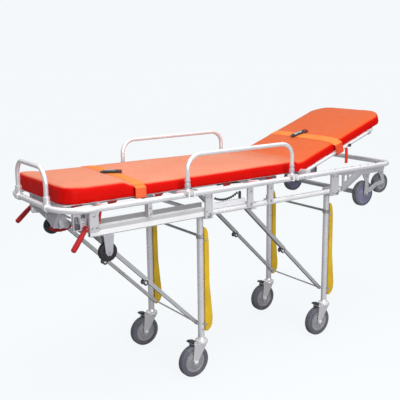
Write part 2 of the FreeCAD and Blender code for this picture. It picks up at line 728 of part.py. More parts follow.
def gas_spring():
    """Cylinder hinged on a deck bearer, and the rod that slides out of it to the backrest lever."""
    length, radius, bore = 204, 10, "4 + fit"
    ears = cut(block((-9, -7, -9), 24, 14, 18), block((-12, -3.6, -12), 24, 7.2, 24),
               rod("3 + fit", 20, (0, -10, 0), "Y"))
    barrel = cut(rod(radius, length - 15, (15, 0, 0), "X"), rod(bore, length, (24, 0, 0), "X"))
    eye_start = 352
    shaft = joined(rod(4, eye_start - 100, (104, 0, 0), "X"), block((eye_start, -5, -8), 22, 10, 16))
    return [place(piece, "spring_x", 0, "spring_height", (0, 1, 0), "spring_angle")
            for piece in (joined(ears, barrel), shaft)]


# ================================================================ rails, handle, levers

def side_rail(side):
    """Inverted U of tube with a knuckle at each foot."""
    y = f"{side}*side_rail_spacing/2"
    low = "(side_pivot_height + 8)"
    first, last = rail_posts(side)
    corners = [(first, y, low), (first, y, "side_rail_top"), (last, y, "side_rail_top"), (last, y, low)]
    tube = bent_tube(corners,
                     [0, "side_rail_bend", "side_rail_bend", 0], "side_rail_tube")
    feet = []
    bores = []
    for post in (first, last):
        start = f"{post} - 9"
        pivot = f"{side}*side_rail_pivot/2"
        feet.append(side_block(side, start, "side_rail_spacing/2 - 8", "side_pivot_height + 4", 18, 35, 12))
        feet.append(rod(8, 18, (start, pivot, "side_pivot_height"), "X"))
        bores.append(rod("3.5 + fit", 18, (start, pivot, "side_pivot_height"), "X"))
    return cut(joined(tube, *feet), *bores)


def foot_handle():
    """U handle whose collars turn on the foot cross tube."""
    x = "-(frame_length - frame_tube)/2"
    half = "handle_spacing/2"
    base = "(frame_height + frame_tube/2 + 1)"
    top = "handle_top"
    corners = [(x, f"-{half}", base), (x, f"-{half}", top), (x, half, top), (x, half, base)]
    tube = bent_tube(corners,
                     [0, 62, 62, 0], "side_rail_tube")
    sockets = []
    bores = []
    for side in SIDES.values():
        y = f"{side}*{half}"
        sockets.append(rod(14, 30, (x, y, base)))
        sockets.append(rod("frame_tube/2 + 4.5", 26, (x, f"{y} - 13", "frame_height"), "Y"))
        bores.append(rod("frame_tube/2 + fit", 26, (x, f"{y} - 13", "frame_height"), "Y"))
    return cut(joined(tube, *sockets), *bores)


def release_lever(side):
    """Round lever hanging towards the foot end from a hub on the lock housing."""
    hub = cross_rod(side, 9, 0, f"{RAIL_Y} - 6", 0, 15)
    middle = f"{side}*({RAIL_Y} + 1.5)"
    lean = "near_lever_lean" if side < 0 else "far_lever_lean"
    shaft = place(rod(9, "lever_length", (0, 0, 0)), 0, middle, 0, (0, 1, 0), f"180 + {lean}")
    tip = ball(9.5, (f"-lever_length*sin({lean}*1deg)", middle, f"-lever_length*cos({lean}*1deg)"))
    lever = cut(joined(hub, shaft, tip), cross_rod(side, "3 + fit", 0, f"{RAIL_Y} - 8", 0, 19))
    return place(lever, -833, 0, 798)


def lock_lever(side):
    """Small flat tab above the channel that frees the leg lock."""
    outline = [(-6, -5), (6, -5), (7, 6), (14, 44), (6, 46), (-5, 8)]
    tab = padded("XZ_Plane", [outline], [((0, 0), "2.5 + fit")], 4)
    return place(tab, -776, f"{side}*({CHANNEL_IN} + 12)", 815)


# ================================================================ straps and buckles

def band(half, low, high, width):
    """A strap over a pad: a flat top and two sides, as a bent strip centred on its own origin."""
    outer = f"({half} + strap_thickness)"
    top = f"({high} + strap_thickness)"
    points = [(f"-{outer}", low), (f"-{half}", low), (f"-{half}", high), (half, high), (half, low),
              (outer, low), (outer, top), (f"-{outer}", top)]
    return padded("YZ_Plane", [points], [], width)


def main_strap():
    return place(band("(pad_width/2 + 1)", 895, "(pad_low + pad_thickness + 1)", "strap_width"), "strap_x")


def backrest_strap():
    strap = band("(backrest_width/2 + 1)", -20, "(backrest_thickness - 1 + 1)", "strap_width")
    return on_backrest(strap, "backrest_strap", 0, 0)


def buckle_parts(turn, y):
    """Press-button buckle lying askew on its strap: the case, and the button in its end."""
    case = block((-22, -46, 0), 44, 92, 13)
    well = block((-14, -47, 3), 28, 24, 7)
    button = block((-13.8, -48, 3.2), 27.6, 18, 6.6)
    return [place(piece, 0, y, 0, (0, 0, 1), turn) for piece in (cut(case, well), together(button))]


def build():
    hand_in("upper_frame", upper_frame())
    hand_in("side_channels", side_channels())
    hand_in("rail_bars", rail_bars())
    hand_in("frame_brackets", frame_brackets())
    hand_in("cross_tubes", cross_tubes())
    hand_in("head_plates", head_plates())
    hand_in("diagonal_braces", diagonal_braces())
    hand_in("loading_wheel_arms", loading_wheel_arms())
    hand_in("loading_axle", loading_axle())
    hand_in("small_wheel_forks", small_wheel_forks())
    hand_in("side_rail_bases", side_rail_bases())
    hand_in("frame_pins", frame_pins())
    hand_in("main_deck", main_deck())
    hand_in("main_pad", main_pad())
    for pair in LEG_PAIRS:
        hand_in(f"{pair}_leg_tubes", leg_tubes(pair))
        hand_in(f"{pair}_leg_crossbar", leg_crossbar(pair))
        hand_in(f"{pair}_leg_guards", leg_guards(pair))
        hand_in(f"{pair}_strut_upper", strut_upper(pair))
        hand_in(f"{pair}_strut_lower", strut_lower(pair))
        for name, side in SIDES.items():
            hand_in(f"{pair}_{name}_caster_fork", caster_fork(pair, side))
            hand_in(f"{pair}_{name}_caster_wheel", caster_wheel(pair, side))
            hand_in(f"{pair}_{name}_brake_pedal", brake_pedal(pair, side))
    for name, side in SIDES.items():
        hand_in(f"{name}_loading_wheel", plain_wheel("loading_wheel/2", 16, 8, "loading_x",
                                                     f"{side}*{LOADING_Y}", "loading_height"))
        hand_in(f"{name}_guide_wheel", plain_wheel("guide_wheel/2", 17, 6, "guide_x",
                                                   f"{side}*{LOADING_Y}", "guide_height"))
        hand_in(f"{name}_small_wheel", plain_wheel("small_wheel/2", 12, 4, "small_x",
                                                   f"{side}*{SMALL_Y}", "small_height"))
        hand_in(f"{name}_side_rail", side_rail(side))
        hand_in(f"{name}_release_lever", release_lever(side))
        hand_in(f"{name}_lock_lever", lock_lever(side))
    hand_in("foot_handle", foot_handle())
    hand_in("backrest_frame", backrest_frame())
    hand_in("backrest_deck", backrest_deck())
    hand_in("backrest_pad", backrest_pad())
    tube, shaft = gas_spring()
    hand_in("gas_spring_tube", tube)
    hand_in("gas_spring_rod", shaft)
    hand_in("main_strap", main_strap())
    hand_in("backrest_strap", backrest_strap())
    case, button = buckle_parts("buckle_turn", -10)
    above = "pad_low + pad_thickness + strap_thickness + 2"
    hand_in("main_buckle", place(together(case), "strap_x", 0, above))
    hand_in("main_buckle_button", place(together(button), "strap_x", 0, above))
    case, button = buckle_parts("backrest_buckle_turn", 28)
    above = "backrest_thickness + strap_thickness + 1"
    hand_in("backrest_buckle", on_backrest(together(case), "backrest_strap + 10", 0, above))
    hand_in("backrest_buckle_button", on_backrest(together(button), "backrest_strap + 10", 0, above))


build()
doc.recompute()
for item in doc.Objects:
    if "Invalid" in item.State or "Error" in item.State:
        raise RuntimeError(f"{item.Label} did not compute: {item.State}")

os.makedirs("parts", exist_ok=True)
for item in handed_in:
    if item.Shape.isNull() or not item.Shape.isValid():
        raise RuntimeError(f"{item.Label} has no valid shape")
    item.Shape.exportStep(f"parts/{item.Label}.step")
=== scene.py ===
"""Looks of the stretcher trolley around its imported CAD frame. Metres; +X is the head end, +Z is up."""
import json
import math

import bmesh
import bpy
from mathutils import Matrix, Vector, noise
from mathutils.bvhtree import BVHTree


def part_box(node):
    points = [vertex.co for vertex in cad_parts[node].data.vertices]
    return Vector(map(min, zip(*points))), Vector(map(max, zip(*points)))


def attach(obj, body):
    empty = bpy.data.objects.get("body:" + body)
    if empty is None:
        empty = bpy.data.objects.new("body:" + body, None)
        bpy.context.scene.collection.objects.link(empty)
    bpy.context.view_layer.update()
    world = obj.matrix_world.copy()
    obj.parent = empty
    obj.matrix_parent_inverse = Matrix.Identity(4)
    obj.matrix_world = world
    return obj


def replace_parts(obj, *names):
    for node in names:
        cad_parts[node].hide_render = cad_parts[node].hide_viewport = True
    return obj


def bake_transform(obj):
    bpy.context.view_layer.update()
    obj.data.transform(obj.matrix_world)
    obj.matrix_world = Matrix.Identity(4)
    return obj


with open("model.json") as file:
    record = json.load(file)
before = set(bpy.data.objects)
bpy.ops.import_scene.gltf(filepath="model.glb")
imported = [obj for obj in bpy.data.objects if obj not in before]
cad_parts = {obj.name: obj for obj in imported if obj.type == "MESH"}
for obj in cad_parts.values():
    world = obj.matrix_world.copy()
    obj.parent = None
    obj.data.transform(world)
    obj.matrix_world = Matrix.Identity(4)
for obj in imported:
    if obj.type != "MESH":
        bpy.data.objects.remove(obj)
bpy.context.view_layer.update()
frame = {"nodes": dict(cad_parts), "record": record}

MM = 0.001
SIDES = {"left": -1, "right": 1}
PAIRS = ("foot", "head")


# ================================================================ places worked out from the CAD frame

def centre(node):
    low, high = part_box(node)
    return (low + high) / 2


def pivot(joint):
    """Where a hinge's axis is."""
    for row in frame["record"]["behaviour"]["joints"]:
        if row["name"] == joint:
            return Vector(row["pos_m"])
    raise ValueError(joint)


PAD_LOW, PAD_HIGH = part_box("main_pad")
HINGE = pivot("backrest_tilt")
TILT = math.radians(19.5)
ALONG = Vector((math.cos(TILT), 0, math.sin(TILT)))
PROUD = Vector((-math.sin(TILT), 0, math.cos(TILT)))


def on_backrest(u, y, w):
    """A point given along, across and above the raised backrest."""
    return Vector((HINGE.x, 0, HINGE.z)) + ALONG * u + Vector((0, y, 0)) + PROUD * w


# ================================================================ materials

class Nodes:
    """Short calls to add and join the nodes of a tree."""

    def __init__(self, tree):
        self.tree = tree

    def add(self, kind, inputs=None, **settings):
        node = self.tree.nodes.new(kind)
        for key, value in settings.items():
            setattr(node, key, value)
        for key, value in (inputs or {}).items():
            self.feed(node.inputs[key], value)
        return node

    def feed(self, socket, value):
        if isinstance(value, bpy.types.NodeSocket):
            self.tree.links.new(value, socket)
        elif socket.type == "RGBA":
            socket.default_value = (*value, 1)
        else:
            socket.default_value = value

    def maths(self, operation, a, b=0.0):
        return self.add("ShaderNodeMath", {0: a, 1: b}, operation=operation).outputs[0]

    def times(self, a, b):
        return self.maths("MULTIPLY", a, b)

    def weighted(self, a, share_a, b, share_b):
        return self.maths("ADD", self.times(a, share_a), self.times(b, share_b))

    def part_of(self, vector, axis):
        return self.add("ShaderNodeSeparateXYZ", {0: vector}).outputs[axis]

    def between(self, value, low, high, out_low=0.0, out_high=1.0):
        inputs = {0: value, 1: low, 2: high, 3: out_low, 4: out_high}
        return self.add("ShaderNodeMapRange", inputs, clamp=True).outputs[0]

    def mixed(self, share, a, b):
        return self.add("ShaderNodeMix", {0: share, 6: a, 7: b}, data_type="RGBA").outputs[2]


class Finish(Nodes):
    """A node material of procedural textures."""

    def __init__(self, name):
        self.material = bpy.data.materials.new(name)
        self.material.use_nodes = True
        super().__init__(self.material.node_tree)
        self.surface = self.tree.nodes["Principled BSDF"]
        self.place = self.add("ShaderNodeTexCoord").outputs["Object"]

    def stored(self, name):
        """A number kept on each point of the mesh."""
        return self.add("ShaderNodeAttribute", attribute_name=name).outputs["Fac"]

    def stretched(self, scale):
        return self.add("ShaderNodeMapping", {"Vector": self.place, "Scale": scale}).outputs[0]

    def noise(self, scale, detail=3.0, where=None, distortion=0.0):
        inputs = {"Vector": where or self.place, "Scale": scale, "Detail": detail, "Distortion": distortion}
        return self.add("ShaderNodeTexNoise", inputs).outputs["Fac"]

    def cells(self, scale):
        inputs = {"Vector": self.place, "Scale": scale}
        return self.add("ShaderNodeTexVoronoi", inputs).outputs["Distance"]

    def rounding(self, radius):
        """The normal a small edge radius would give."""
        return self.add("ShaderNodeBevel", {"Radius": radius}, samples=6).outputs[0]

    def edges(self, radius, share=1.0):
        """1 on sharp edges, 0 on flats, for worn edges."""
        true = self.add("ShaderNodeNewGeometry").outputs["Normal"]
        inputs = {0: self.rounding(radius), 1: true}
        alike = self.add("ShaderNodeVectorMath", inputs, operation="DOT_PRODUCT")
        return self.between(alike.outputs["Value"], 0.995, 0.8, 0.0, share)

    def bump(self, height, strength, distance, normal=None):
        inputs = {"Height": height, "Strength": strength, "Distance": distance}
        if normal is not None:
            inputs["Normal"] = normal
        return self.add("ShaderNodeBump", inputs).outputs[0]

    def set(self, **values):
        names = {"color": "Base Color", "sheen": "Sheen Weight", "coat": "Coat Weight",
                 "specular": "Specular IOR Level"}
        for key, value in values.items():
            self.feed(self.surface.inputs[names.get(key) or key.replace("_", " ").title()], value)
        return self


def darker(color, share):
    return tuple(c * share for c in color)


def metal(name, color, roughness, metallic, grain, lengthwise, edge_light=0.25, bands=(), across=None):
    """Satin metal: grain drawn along one axis, hand marks, brighter worn edges.

    bands are (height, share) pairs of painted shade: from each height up the colour is that share of the
    full one.
    across is x + z along the middle of a strut; from it the strut's two edges get painted shade that makes
    the flat bar look round, and its middle a dark line of painted shade, as in a groove.
    """
    finish = Finish(name)
    drawn = finish.noise(900, 2, finish.stretched(lengthwise))
    marks = finish.noise(14, 4)
    specks = finish.noise(260, 2)
    bright = tuple(min(1, c * (1 + edge_light)) for c in color)
    shade = finish.mixed(finish.between(marks, 0.35, 0.75), darker(color, 0.92), color)
    for height, share in bands:
        above = finish.maths("GREATER_THAN", finish.part_of(finish.place, 2), height)
        shade = finish.mixed(above, shade, darker(color, share))
    shade = finish.mixed(finish.edges(1.2 * MM, 0.7), shade, bright)
    rough = finish.between(finish.maths("ADD", marks, specks), 0.6, 1.4, roughness * 0.85, roughness * 1.2)
    height = finish.weighted(drawn, 0.6, specks, 0.25)
    # painted shade on the struts: dark bands along both edges make the flat bar look round, and a dark line
    # along its middle stands in for the shade in a groove
    if across is not None:
        place = finish.maths("ADD", finish.part_of(finish.place, 0), finish.part_of(finish.place, 2))
        off = finish.maths("ABSOLUTE", finish.maths("SUBTRACT", place, across))
        edge = finish.between(off, 8.5 * MM, 12 * MM)
        groove = finish.between(off, 1.2 * MM, 2.6 * MM, 0.45, 0.0)
        for line in (edge, groove):
            shade = finish.mixed(line, shade, darker(color, 0.30))
    normal = finish.bump(height, grain, 0.3 * MM, finish.rounding(0.9 * MM))
    return finish.set(color=shade, roughness=rough, metallic=metallic, normal=normal).material


def painted(name, color, roughness, peel_scale, peel, chip):
    """Powder-coated casting: orange-peel skin, cloudy darker patches and paint rubbed off the edges."""
    finish = Finish(name)
    peel_height = finish.noise(peel_scale, 2)
    cloud = finish.noise(9, 4)
    broken = finish.between(finish.noise(70, 5), 0.48, 0.62)
    worn = finish.times(finish.edges(1.6 * MM, 0.5), broken)
    shade = finish.mixed(finish.between(cloud, 0.3, 0.7), darker(color, 0.86), color)
    shade = finish.mixed(worn, shade, chip)
    rough = finish.between(cloud, 0.3, 0.7, roughness * 0.85, roughness * 1.25)
    normal = finish.bump(peel_height, peel, 0.5 * MM, finish.rounding(1.3 * MM))
    bare = finish.times(worn, 0.8)
    return finish.set(color=shade, roughness=rough, normal=normal, metallic=bare, coat=0.25,
                      coat_roughness=0.3).material


def moulded(name, color, roughness, texture_scale, texture, scuff, coat=0.0):
    """Moulded plastic or rubber: fine spark texture, scuffs that go pale, soft edges."""
    finish = Finish(name)
    grain = finish.noise(texture_scale, 3)
    scuffs = finish.between(finish.noise(38, 6, finish.stretched((1, 1, 0.35)), 0.6), 0.56, 0.70)
    rubbed = finish.maths("MAXIMUM", finish.times(scuffs, 0.45), finish.edges(1.5 * MM, 0.5))
    cloud = finish.noise(11, 3)
    shade = finish.mixed(finish.between(cloud, 0.35, 0.65), darker(color, 0.82), color)
    shade = finish.mixed(rubbed, shade, scuff)
    rough = finish.between(grain, 0.3, 0.7, roughness * 0.8, min(1, roughness * 1.2))
    normal = finish.bump(grain, texture, 0.25 * MM, finish.rounding(1.1 * MM))
    return finish.set(color=shade, roughness=rough, normal=normal, coat=coat).material


def coated_fabric():
    """Vinyl-coated fabric: pebbled grain, soft creases, painted light that makes it paler where it faces up,
    and painted shade that makes it deep red at its sides.
    """
    finish = Finish("orange_vinyl")
    # painted light and shade: faces that look up get the lit top colours, the sides the darker red
    top = finish.between(finish.stored("lie"), 0.50, 0.95)
    # painted glare on the top: from orange on the head side to salmon towards the foot end
    foot_glare = finish.between(finish.part_of(finish.place, 0), 0.10, 0.38, 1.0, 0.0)
    mottle = finish.noise(5, 4)
    # colours of the painted shade on the sides, of the top, and of the painted glare on the top
    shaded_side_red = (0.590, 0.004, 0.002)
    orange = (0.560, 0.082, 0.006)
    glare_salmon = (0.615, 0.205, 0.118)
    bed = finish.mixed(foot_glare, orange, glare_salmon)
    bed = finish.mixed(finish.between(mottle, 0.3, 0.7, 0.0, 0.25), bed, orange)
    shade = finish.mixed(top, shaded_side_red, bed)
    pebble = finish.cells(620)
    fine = finish.noise(1500, 2)
    soft = finish.noise(17, 3, finish.stretched((1, 1.6, 1)))
    grain = finish.bump(finish.weighted(pebble, 0.6, fine, 0.4), 0.25, 0.4 * MM)
    creased = finish.bump(soft, 0.35, 5 * MM, grain)
    rough = finish.between(finish.noise(22, 4), 0.3, 0.7, 0.42, 0.58)
    gloss = finish.between(top, 0.0, 1.0, 0.06, 0.3)
    sheen = finish.times(top, 0.15)
    return finish.set(color=shade, roughness=rough, normal=creased, specular=gloss, sheen=sheen,
                      sheen_roughness=0.45, sheen_tint=(1.0, 0.6, 0.4)).material


AMBER = (0.92, 0.29, 0.045)
DARK_AMBER = (0.66, 0.13, 0.015)


def webbing(name, color=AMBER, dark=DARK_AMBER, hang=(0.85, 0.36, 0.5), stitched=True):
    """Woven strap: twill ribs along it and a row of stitching near each edge. Uses UV in metres.

    hang is the share of the colour left on the parts that hang down a side, as painted shade that makes
    those sides darker than the top.
    """
    finish = Finish(name)
    uv = finish.add("ShaderNodeTexCoord").outputs["UV"]
    along = finish.part_of(uv, 0)
    across = finish.part_of(uv, 1)
    diagonal = finish.maths("ADD", along, finish.maths("ABSOLUTE", across))
    twill = finish.maths("SINE", finish.times(diagonal, 2 * math.pi / (2.4 * MM)))
    ribs = finish.maths("SINE", finish.times(across, 2 * math.pi / (1.9 * MM)))
    weave = finish.weighted(twill, 0.6, ribs, 0.4)
    fibre = finish.noise(1800, 2, finish.stretched((0.2, 1, 1)))
    shade = finish.mixed(finish.between(weave, -1, 1), dark, color)
    shade = finish.mixed(finish.between(finish.noise(30, 4), 0.35, 0.7, 0.0, 0.3), shade, dark)
    # painted shade: darker where the strap faces away from the bed, down the mattress's sides
    hanging_shade = finish.between(finish.stored("lie"), 0.2, 0.8, 0.85, 0.0)
    shade = finish.mixed(hanging_shade, shade, tuple(c * share for c, share in zip(color, hang)))
    if stitched:
        from_middle = finish.maths("ABSOLUTE", across)
        from_row = finish.maths("ABSOLUTE", finish.maths("SUBTRACT", from_middle, 20.5 * MM))
        row = finish.maths("LESS_THAN", from_row, 0.5 * MM)
        stitches = finish.maths("SINE", finish.times(along, 1500))
        dash = finish.maths("GREATER_THAN", stitches, -0.3)
        thread = finish.times(row, dash)
        shade = finish.mixed(finish.times(thread, 0.6), shade, darker(dark, 0.5))
    height = finish.maths("ADD", weave, fibre)
    normal = finish.bump(height, 0.5, 0.35 * MM)
    return finish.set(color=shade, roughness=0.62, normal=normal, sheen=0.5, sheen_roughness=0.4,
                      sheen_tint=color).material


# x + z of each pair's straight strut, from the hinge of its upper bar
STRUT_LINE = {pair: pivot(f"{pair}_strut_hinge").x + pivot(f"{pair}_strut_hinge").z for pair in PAIRS}

# painted shade on the channel: its dark lower edge, plain face, recessed track, lip's edge and set-back lip,
# as (mm above its lowest edge, share of the colour); the darker bands stand in for the shade under its edge,
# in its track and on its lip
CHANNEL_PAINTED_SHADE = ((-1, 0.42), (3.5, 1), (24, 0.62), (40, 0.9), (43, 0.30))
CHANNEL_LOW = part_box("side_channels")[0].z
CHANNEL_SHADE_BANDS = [(CHANNEL_LOW + height * MM, share) for height, share in CHANNEL_PAINTED_SHADE]

# stretch of the noise that makes the grain: drawn out along one axis, or even
ALONG_X = (0.04, 1, 1)
ALONG_Y = (1, 0.04, 1)
ALONG_Z = (1, 1, 0.04)
UP_GRAIN = (1, 1, 0.2)
EVEN = (1, 1, 1)

# colour, roughness, metallic share, depth of the grain and its direction
METALS = {
    "satin_tube": ((0.89, 0.89, 0.925), 0.24, 0.48, 0.02, ALONG_X),
    "satin_leg": ((0.80, 0.79, 0.835), 0.28, 0.50, 0.008, ALONG_Z),
    "white_bar": ((0.91, 0.91, 0.93), 0.26, 0.30, 0.02, ALONG_X),
    "thin_bar": ((0.42, 0.42, 0.44), 0.30, 0.75, 0.02, ALONG_Y),
    "zinc_steel": ((0.52, 0.53, 0.56), 0.30, 0.9, 0.08, UP_GRAIN),
    "bright_steel": ((0.88, 0.88, 0.90), 0.30, 0.45, 0.03, EVEN),
    "fork_steel": ((0.66, 0.65, 0.675), 0.32, 0.35, 0.04, UP_GRAIN),
    "dark_steel": ((0.16, 0.16, 0.18), 0.35, 0.8, 0.1, EVEN),
    "deck_sheet": ((0.62, 0.63, 0.66), 0.42, 0.8, 0.1, (0.03, 1, 1)),
}

# colour, roughness, fineness and depth of the orange peel, colour of the chips
PAINTS = {
    "white_casting": ((0.84, 0.84, 0.87), 0.38, 420, 0.08, (0.42, 0.42, 0.44)),
    "pale_casting": ((0.56, 0.55, 0.585), 0.42, 300, 0.1, (0.72, 0.72, 0.74)),
    "grey_casting": ((0.41, 0.405, 0.445), 0.42, 300, 0.12, (0.68, 0.68, 0.70)),
}

# colour, roughness, fineness and depth of the texture, colour of the scuffs, clear coat
PLASTICS = {
    "black_plastic": ((0.022, 0.022, 0.026), 0.45, 900, 0.25, (0.11, 0.11, 0.12)),
    "dark_grip": ((0.035, 0.012, 0.012), 0.32, 700, 0.2, (0.12, 0.07, 0.06), 0.2),
    "yellow_guard": ((0.72, 0.46, 0.008), 0.42, 500, 0.05, (0.76, 0.54, 0.06), 0.1),
    "red_lever": ((0.46, 0.0005, 0.004), 0.7, 500, 0.02, (0.50, 0.005, 0.01)),
    "grey_tyre": ((0.115, 0.117, 0.145), 0.72, 420, 0.15, (0.22, 0.22, 0.25)),
    "mid_tyre": ((0.13, 0.13, 0.155), 0.68, 420, 0.2, (0.24, 0.24, 0.27)),
    "grey_hub": ((0.30, 0.30, 0.325), 0.5, 600, 0.1, (0.42, 0.42, 0.45)),
    "violet_wheel": ((0.185, 0.18, 0.285), 0.5, 600, 0.1, (0.30, 0.29, 0.40)),
    "dark_vinyl": ((0.36, 0.006, 0.006), 0.6, 900, 0.3, (0.5, 0.05, 0.04)),
    "black_rubber": ((0.016, 0.016, 0.019), 0.65, 500, 0.3, (0.09, 0.09, 0.10)),
}

STRUT_GREYS = {"foot": (0.70, 0.70, 0.725), "head": (0.66, 0.66, 0.685)}

LOOKS = {
    "orange_vinyl": coated_fabric(),
    "amber_webbing": webbing("amber_webbing"),
    # the same webbing with deeper painted shade on the parts that hang down the sides
    "deep_webbing": webbing("deep_webbing", hang=(0.82, 0.14, 0.12)),
    "red_webbing": webbing("red_webbing", (0.80, 0.07, 0.03), (0.45, 0.02, 0.01), stitched=False),
    "white_extrusion": metal("white_extrusion", (0.88, 0.88, 0.895), 0.34, 0.12, 0.03, (0.03, 1, 1), 0.1,
                             CHANNEL_SHADE_BANDS),
}
for make, table in ((metal, METALS), (painted, PAINTS), (moulded, PLASTICS)):
    for look, values in table.items():
        LOOKS[look] = make(look, *values)
for pair, grey in STRUT_GREYS.items():
    look = f"{pair}_strut"
    LOOKS[look] = metal(look, grey, 0.30, 0.60, 0.03, (1, 1, 0.3), across=STRUT_LINE[pair])


def dress(obj, look):
    obj.data.materials.clear()
    obj.data.materials.append(LOOKS[look])
    return obj


# ================================================================ mesh makers

def mesh_object(name, bm, look, smooth_angle=35):
    data = bpy.data.meshes.new(name)
    bmesh.ops.recalc_face_normals(bm, faces=bm.faces)
    bm.to_mesh(data)
    bm.free()
    obj = bpy.data.objects.new(name, data)
    bpy.context.scene.collection.objects.link(obj)
    for face in data.polygons:
        face.use_smooth = True
    data.set_sharp_from_angle(angle=math.radians(smooth_angle))
    return dress(obj, look)


def skin_of(*objects):
    """A ray-cast tree of some meshes."""
    points = []
    faces = []
    for obj in objects:
        start = len(points)
        points += [obj.matrix_world @ v.co for v in obj.data.vertices]
        faces += [[start + n for n in face.vertices] for face in obj.data.polygons]
    return BVHTree.FromPolygons(points, faces)


def hit_from(skin, start, direction, reach):
    """Where a ray first meets a surface, or None."""
    return skin.ray_cast(start, direction, reach)[0]


def add_part(bm, part):
    """Adds one mesh to another and frees the first."""
    data = bpy.data.meshes.new("part")
    part.to_mesh(data)
    part.free()
    bm.from_mesh(data)
    bpy.data.meshes.remove(data)


def bridge(bm, rings):
    """Joins rings of as many points into a tube, and closes its ends."""
    count = len(rings[0])
    for here, there in zip(rings, rings[1:]):
        for k in range(count):
            bm.faces.new((here[k], here[(k + 1) % count], there[(k + 1) % count], there[k]))
    bm.faces.new(list(reversed(rings[0])))
    bm.faces.new(rings[-1])


def in_mm(profile):
    """A profile given in mm, in metres."""
    return [(a * MM, r * MM) for a, r in profile]


def lathe(bm, profile, origin, axis, segments=64, closed=True):
    """Turns a profile of (along the axis, radius) points about an axis through origin."""
    axis = Vector(axis).normalized()
    side = axis.orthogonal().normalized()
    other = axis.cross(side)
    rings = []
    for n in range(segments):
        angle = 2 * math.pi * n / segments
        out = side * math.cos(angle) + other * math.sin(angle)
        rings.append([bm.verts.new(Vector(origin) + axis * a + out * r) for a, r in profile])
    count = len(profile)
    for n in range(segments):
        here, there = rings[n], rings[(n + 1) % segments]
        for k in range(count if closed else count - 1):
            bm.faces.new((here[k], here[(k + 1) % count], there[(k + 1) % count], there[k]))
    if not closed:
        bm.faces.new([ring[0] for ring in rings])
        bm.faces.new([ring[-1] for ring in reversed(rings)])


def rounded_profile(half_width, inner, outer, corner, steps=5):
    """A ring's cross-section with rounded outer corners, as (along, radius) points."""
    points = [(-half_width, inner)]
    for side in (-1, 1):
        for n in range(steps + 1):
            angle = math.pi / 2 * (n / steps)
            turns = (math.cos(angle), math.sin(angle))
            out, up = turns if side < 0 else turns[::-1]
            points.append((side * (half_width - corner + corner * out), outer - corner + corner * up))
    points.append((half_width, inner))
    return points


def soft_block(bm, size, place, radius, segments=3):
    """A block with all its edges rounded."""
    part = bmesh.new()
    bmesh.ops.create_cube(part, size=1)
    bmesh.ops.scale(part, vec=size, verts=part.verts)
    bmesh.ops.bevel(part, geom=part.edges[:], offset=radius, segments=segments, profile=0.5, affect="EDGES")
    bmesh.ops.transform(part, matrix=place, verts=part.verts)
    add_part(bm, part)


def dome_bolt(bm, place, direction, radius, height):
    """A washer with a hexagon nut and the rounded end of its bolt."""
    direction = Vector(direction).normalized()
    place = Vector(place)
    washer = ((0, 0.15), (0, 1.45), (0.22, 1.45), (0.3, 1.3), (0.3, 0.15))
    nut = ((0.28, 1.15), (0.72, 1.15), (0.8, 0.95))
    end = ((0.78, 0.62), (0.92, 0.58), (1, 0.35))
    for shares, segments in ((washer, 20), (nut, 6), (end, 14)):
        profile = [(a * height, r * radius) for a, r in shares]
        lathe(bm, profile, place, direction, segments, closed=shares is washer)


def mm(x, y, z):
    return Vector((x, y, z)) * MM


def at(x, y, z):
    """The move to a place given in mm."""
    return Matrix.Translation(mm(x, y, z))


def turned(degrees, axis):
    return Matrix.Rotation(math.radians(degrees), 4, axis)


def swept_tube(bm, points, radius, segments=14):
    """A round bar along a line of points, with closed ends."""
    rings = []
    for n, point in enumerate(points):
        ahead = points[min(n + 1, len(points) - 1)] - points[max(n - 1, 0)]
        ahead.normalize()
        side = ahead.cross(Vector((0, 0.31, 0.95))).normalized()
        other = ahead.cross(side)
        rings.append([bm.verts.new(point + (side * math.cos(a) + other * math.sin(a)) * radius)
                      for a in (2 * math.pi * k / segments for k in range(segments))])
    bridge(bm, rings)


def ride_as(name, bm, look, body, angle=30):
    """A finished piece that moves with a body."""
    piece = mesh_object(name, bm, look, angle)
    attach(piece, body)
    return piece


# ================================================================ mattress

PAD_THICK = PAD_HIGH.z - PAD_LOW.z
BACK_THICK = 46 * MM
FLAT_HINGE = HINGE.x - PAD_LOW.x
FLAT_LENGTH = FLAT_HINGE + 0.662
HALF_WIDTH = 0.251
FOOT_CORNER = {-1: 0.070, 1: 0.032}
CREASE = 24 * MM
SKIRT = 11 * MM
FOOT_OVERHANG = 12 * MM
CLOTH_STEPS = 20
# where the main strap presses the mattress down; towards the foot from here it is plumper on the near side
STRAP_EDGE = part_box("main_strap")[0].x - PAD_LOW.x


def limit(value):
    return min(1, max(0, value))


def head_share(ahead):
    """How much of the backrest's tilt a place this far ahead of the hinge has."""
    return limit((ahead + CREASE) / (2 * CREASE))


def bent(s, y, t):
    """Where a point of the flat mattress (along, across, up) goes when the head part is raised."""
    ahead = s - FLAT_HINGE
    share = head_share(ahead)
    angle = TILT * share
    thickness = 1 + (BACK_THICK / PAD_THICK - 1) * share
    if share in (0, 1):
        base = ALONG * ahead if share else Vector((ahead, 0, 0))
    else:
        start = Vector((-CREASE, 0, 0))
        half_angle = angle / 2
        base = start + Vector((math.cos(half_angle), 0, math.sin(half_angle))) * (ahead + CREASE)
        straight = start + Vector((math.cos(TILT / 2), 0, math.sin(TILT / 2))) * 2 * CREASE
        base += (ALONG * CREASE - straight) * share
    up = Vector((-math.sin(angle), 0, math.cos(angle)))
    floor = HINGE.z + 3 * MM - 4 * MM * share
    return Vector((HINGE.x, y, floor)) + base + up * (t * thickness)


def head_end(y):
    """How far the mattress reaches at a place across it: nearly straight, falling away at the corners."""
    return FLAT_LENGTH - 0.085 * (abs(y) / HALF_WIDTH) ** 6


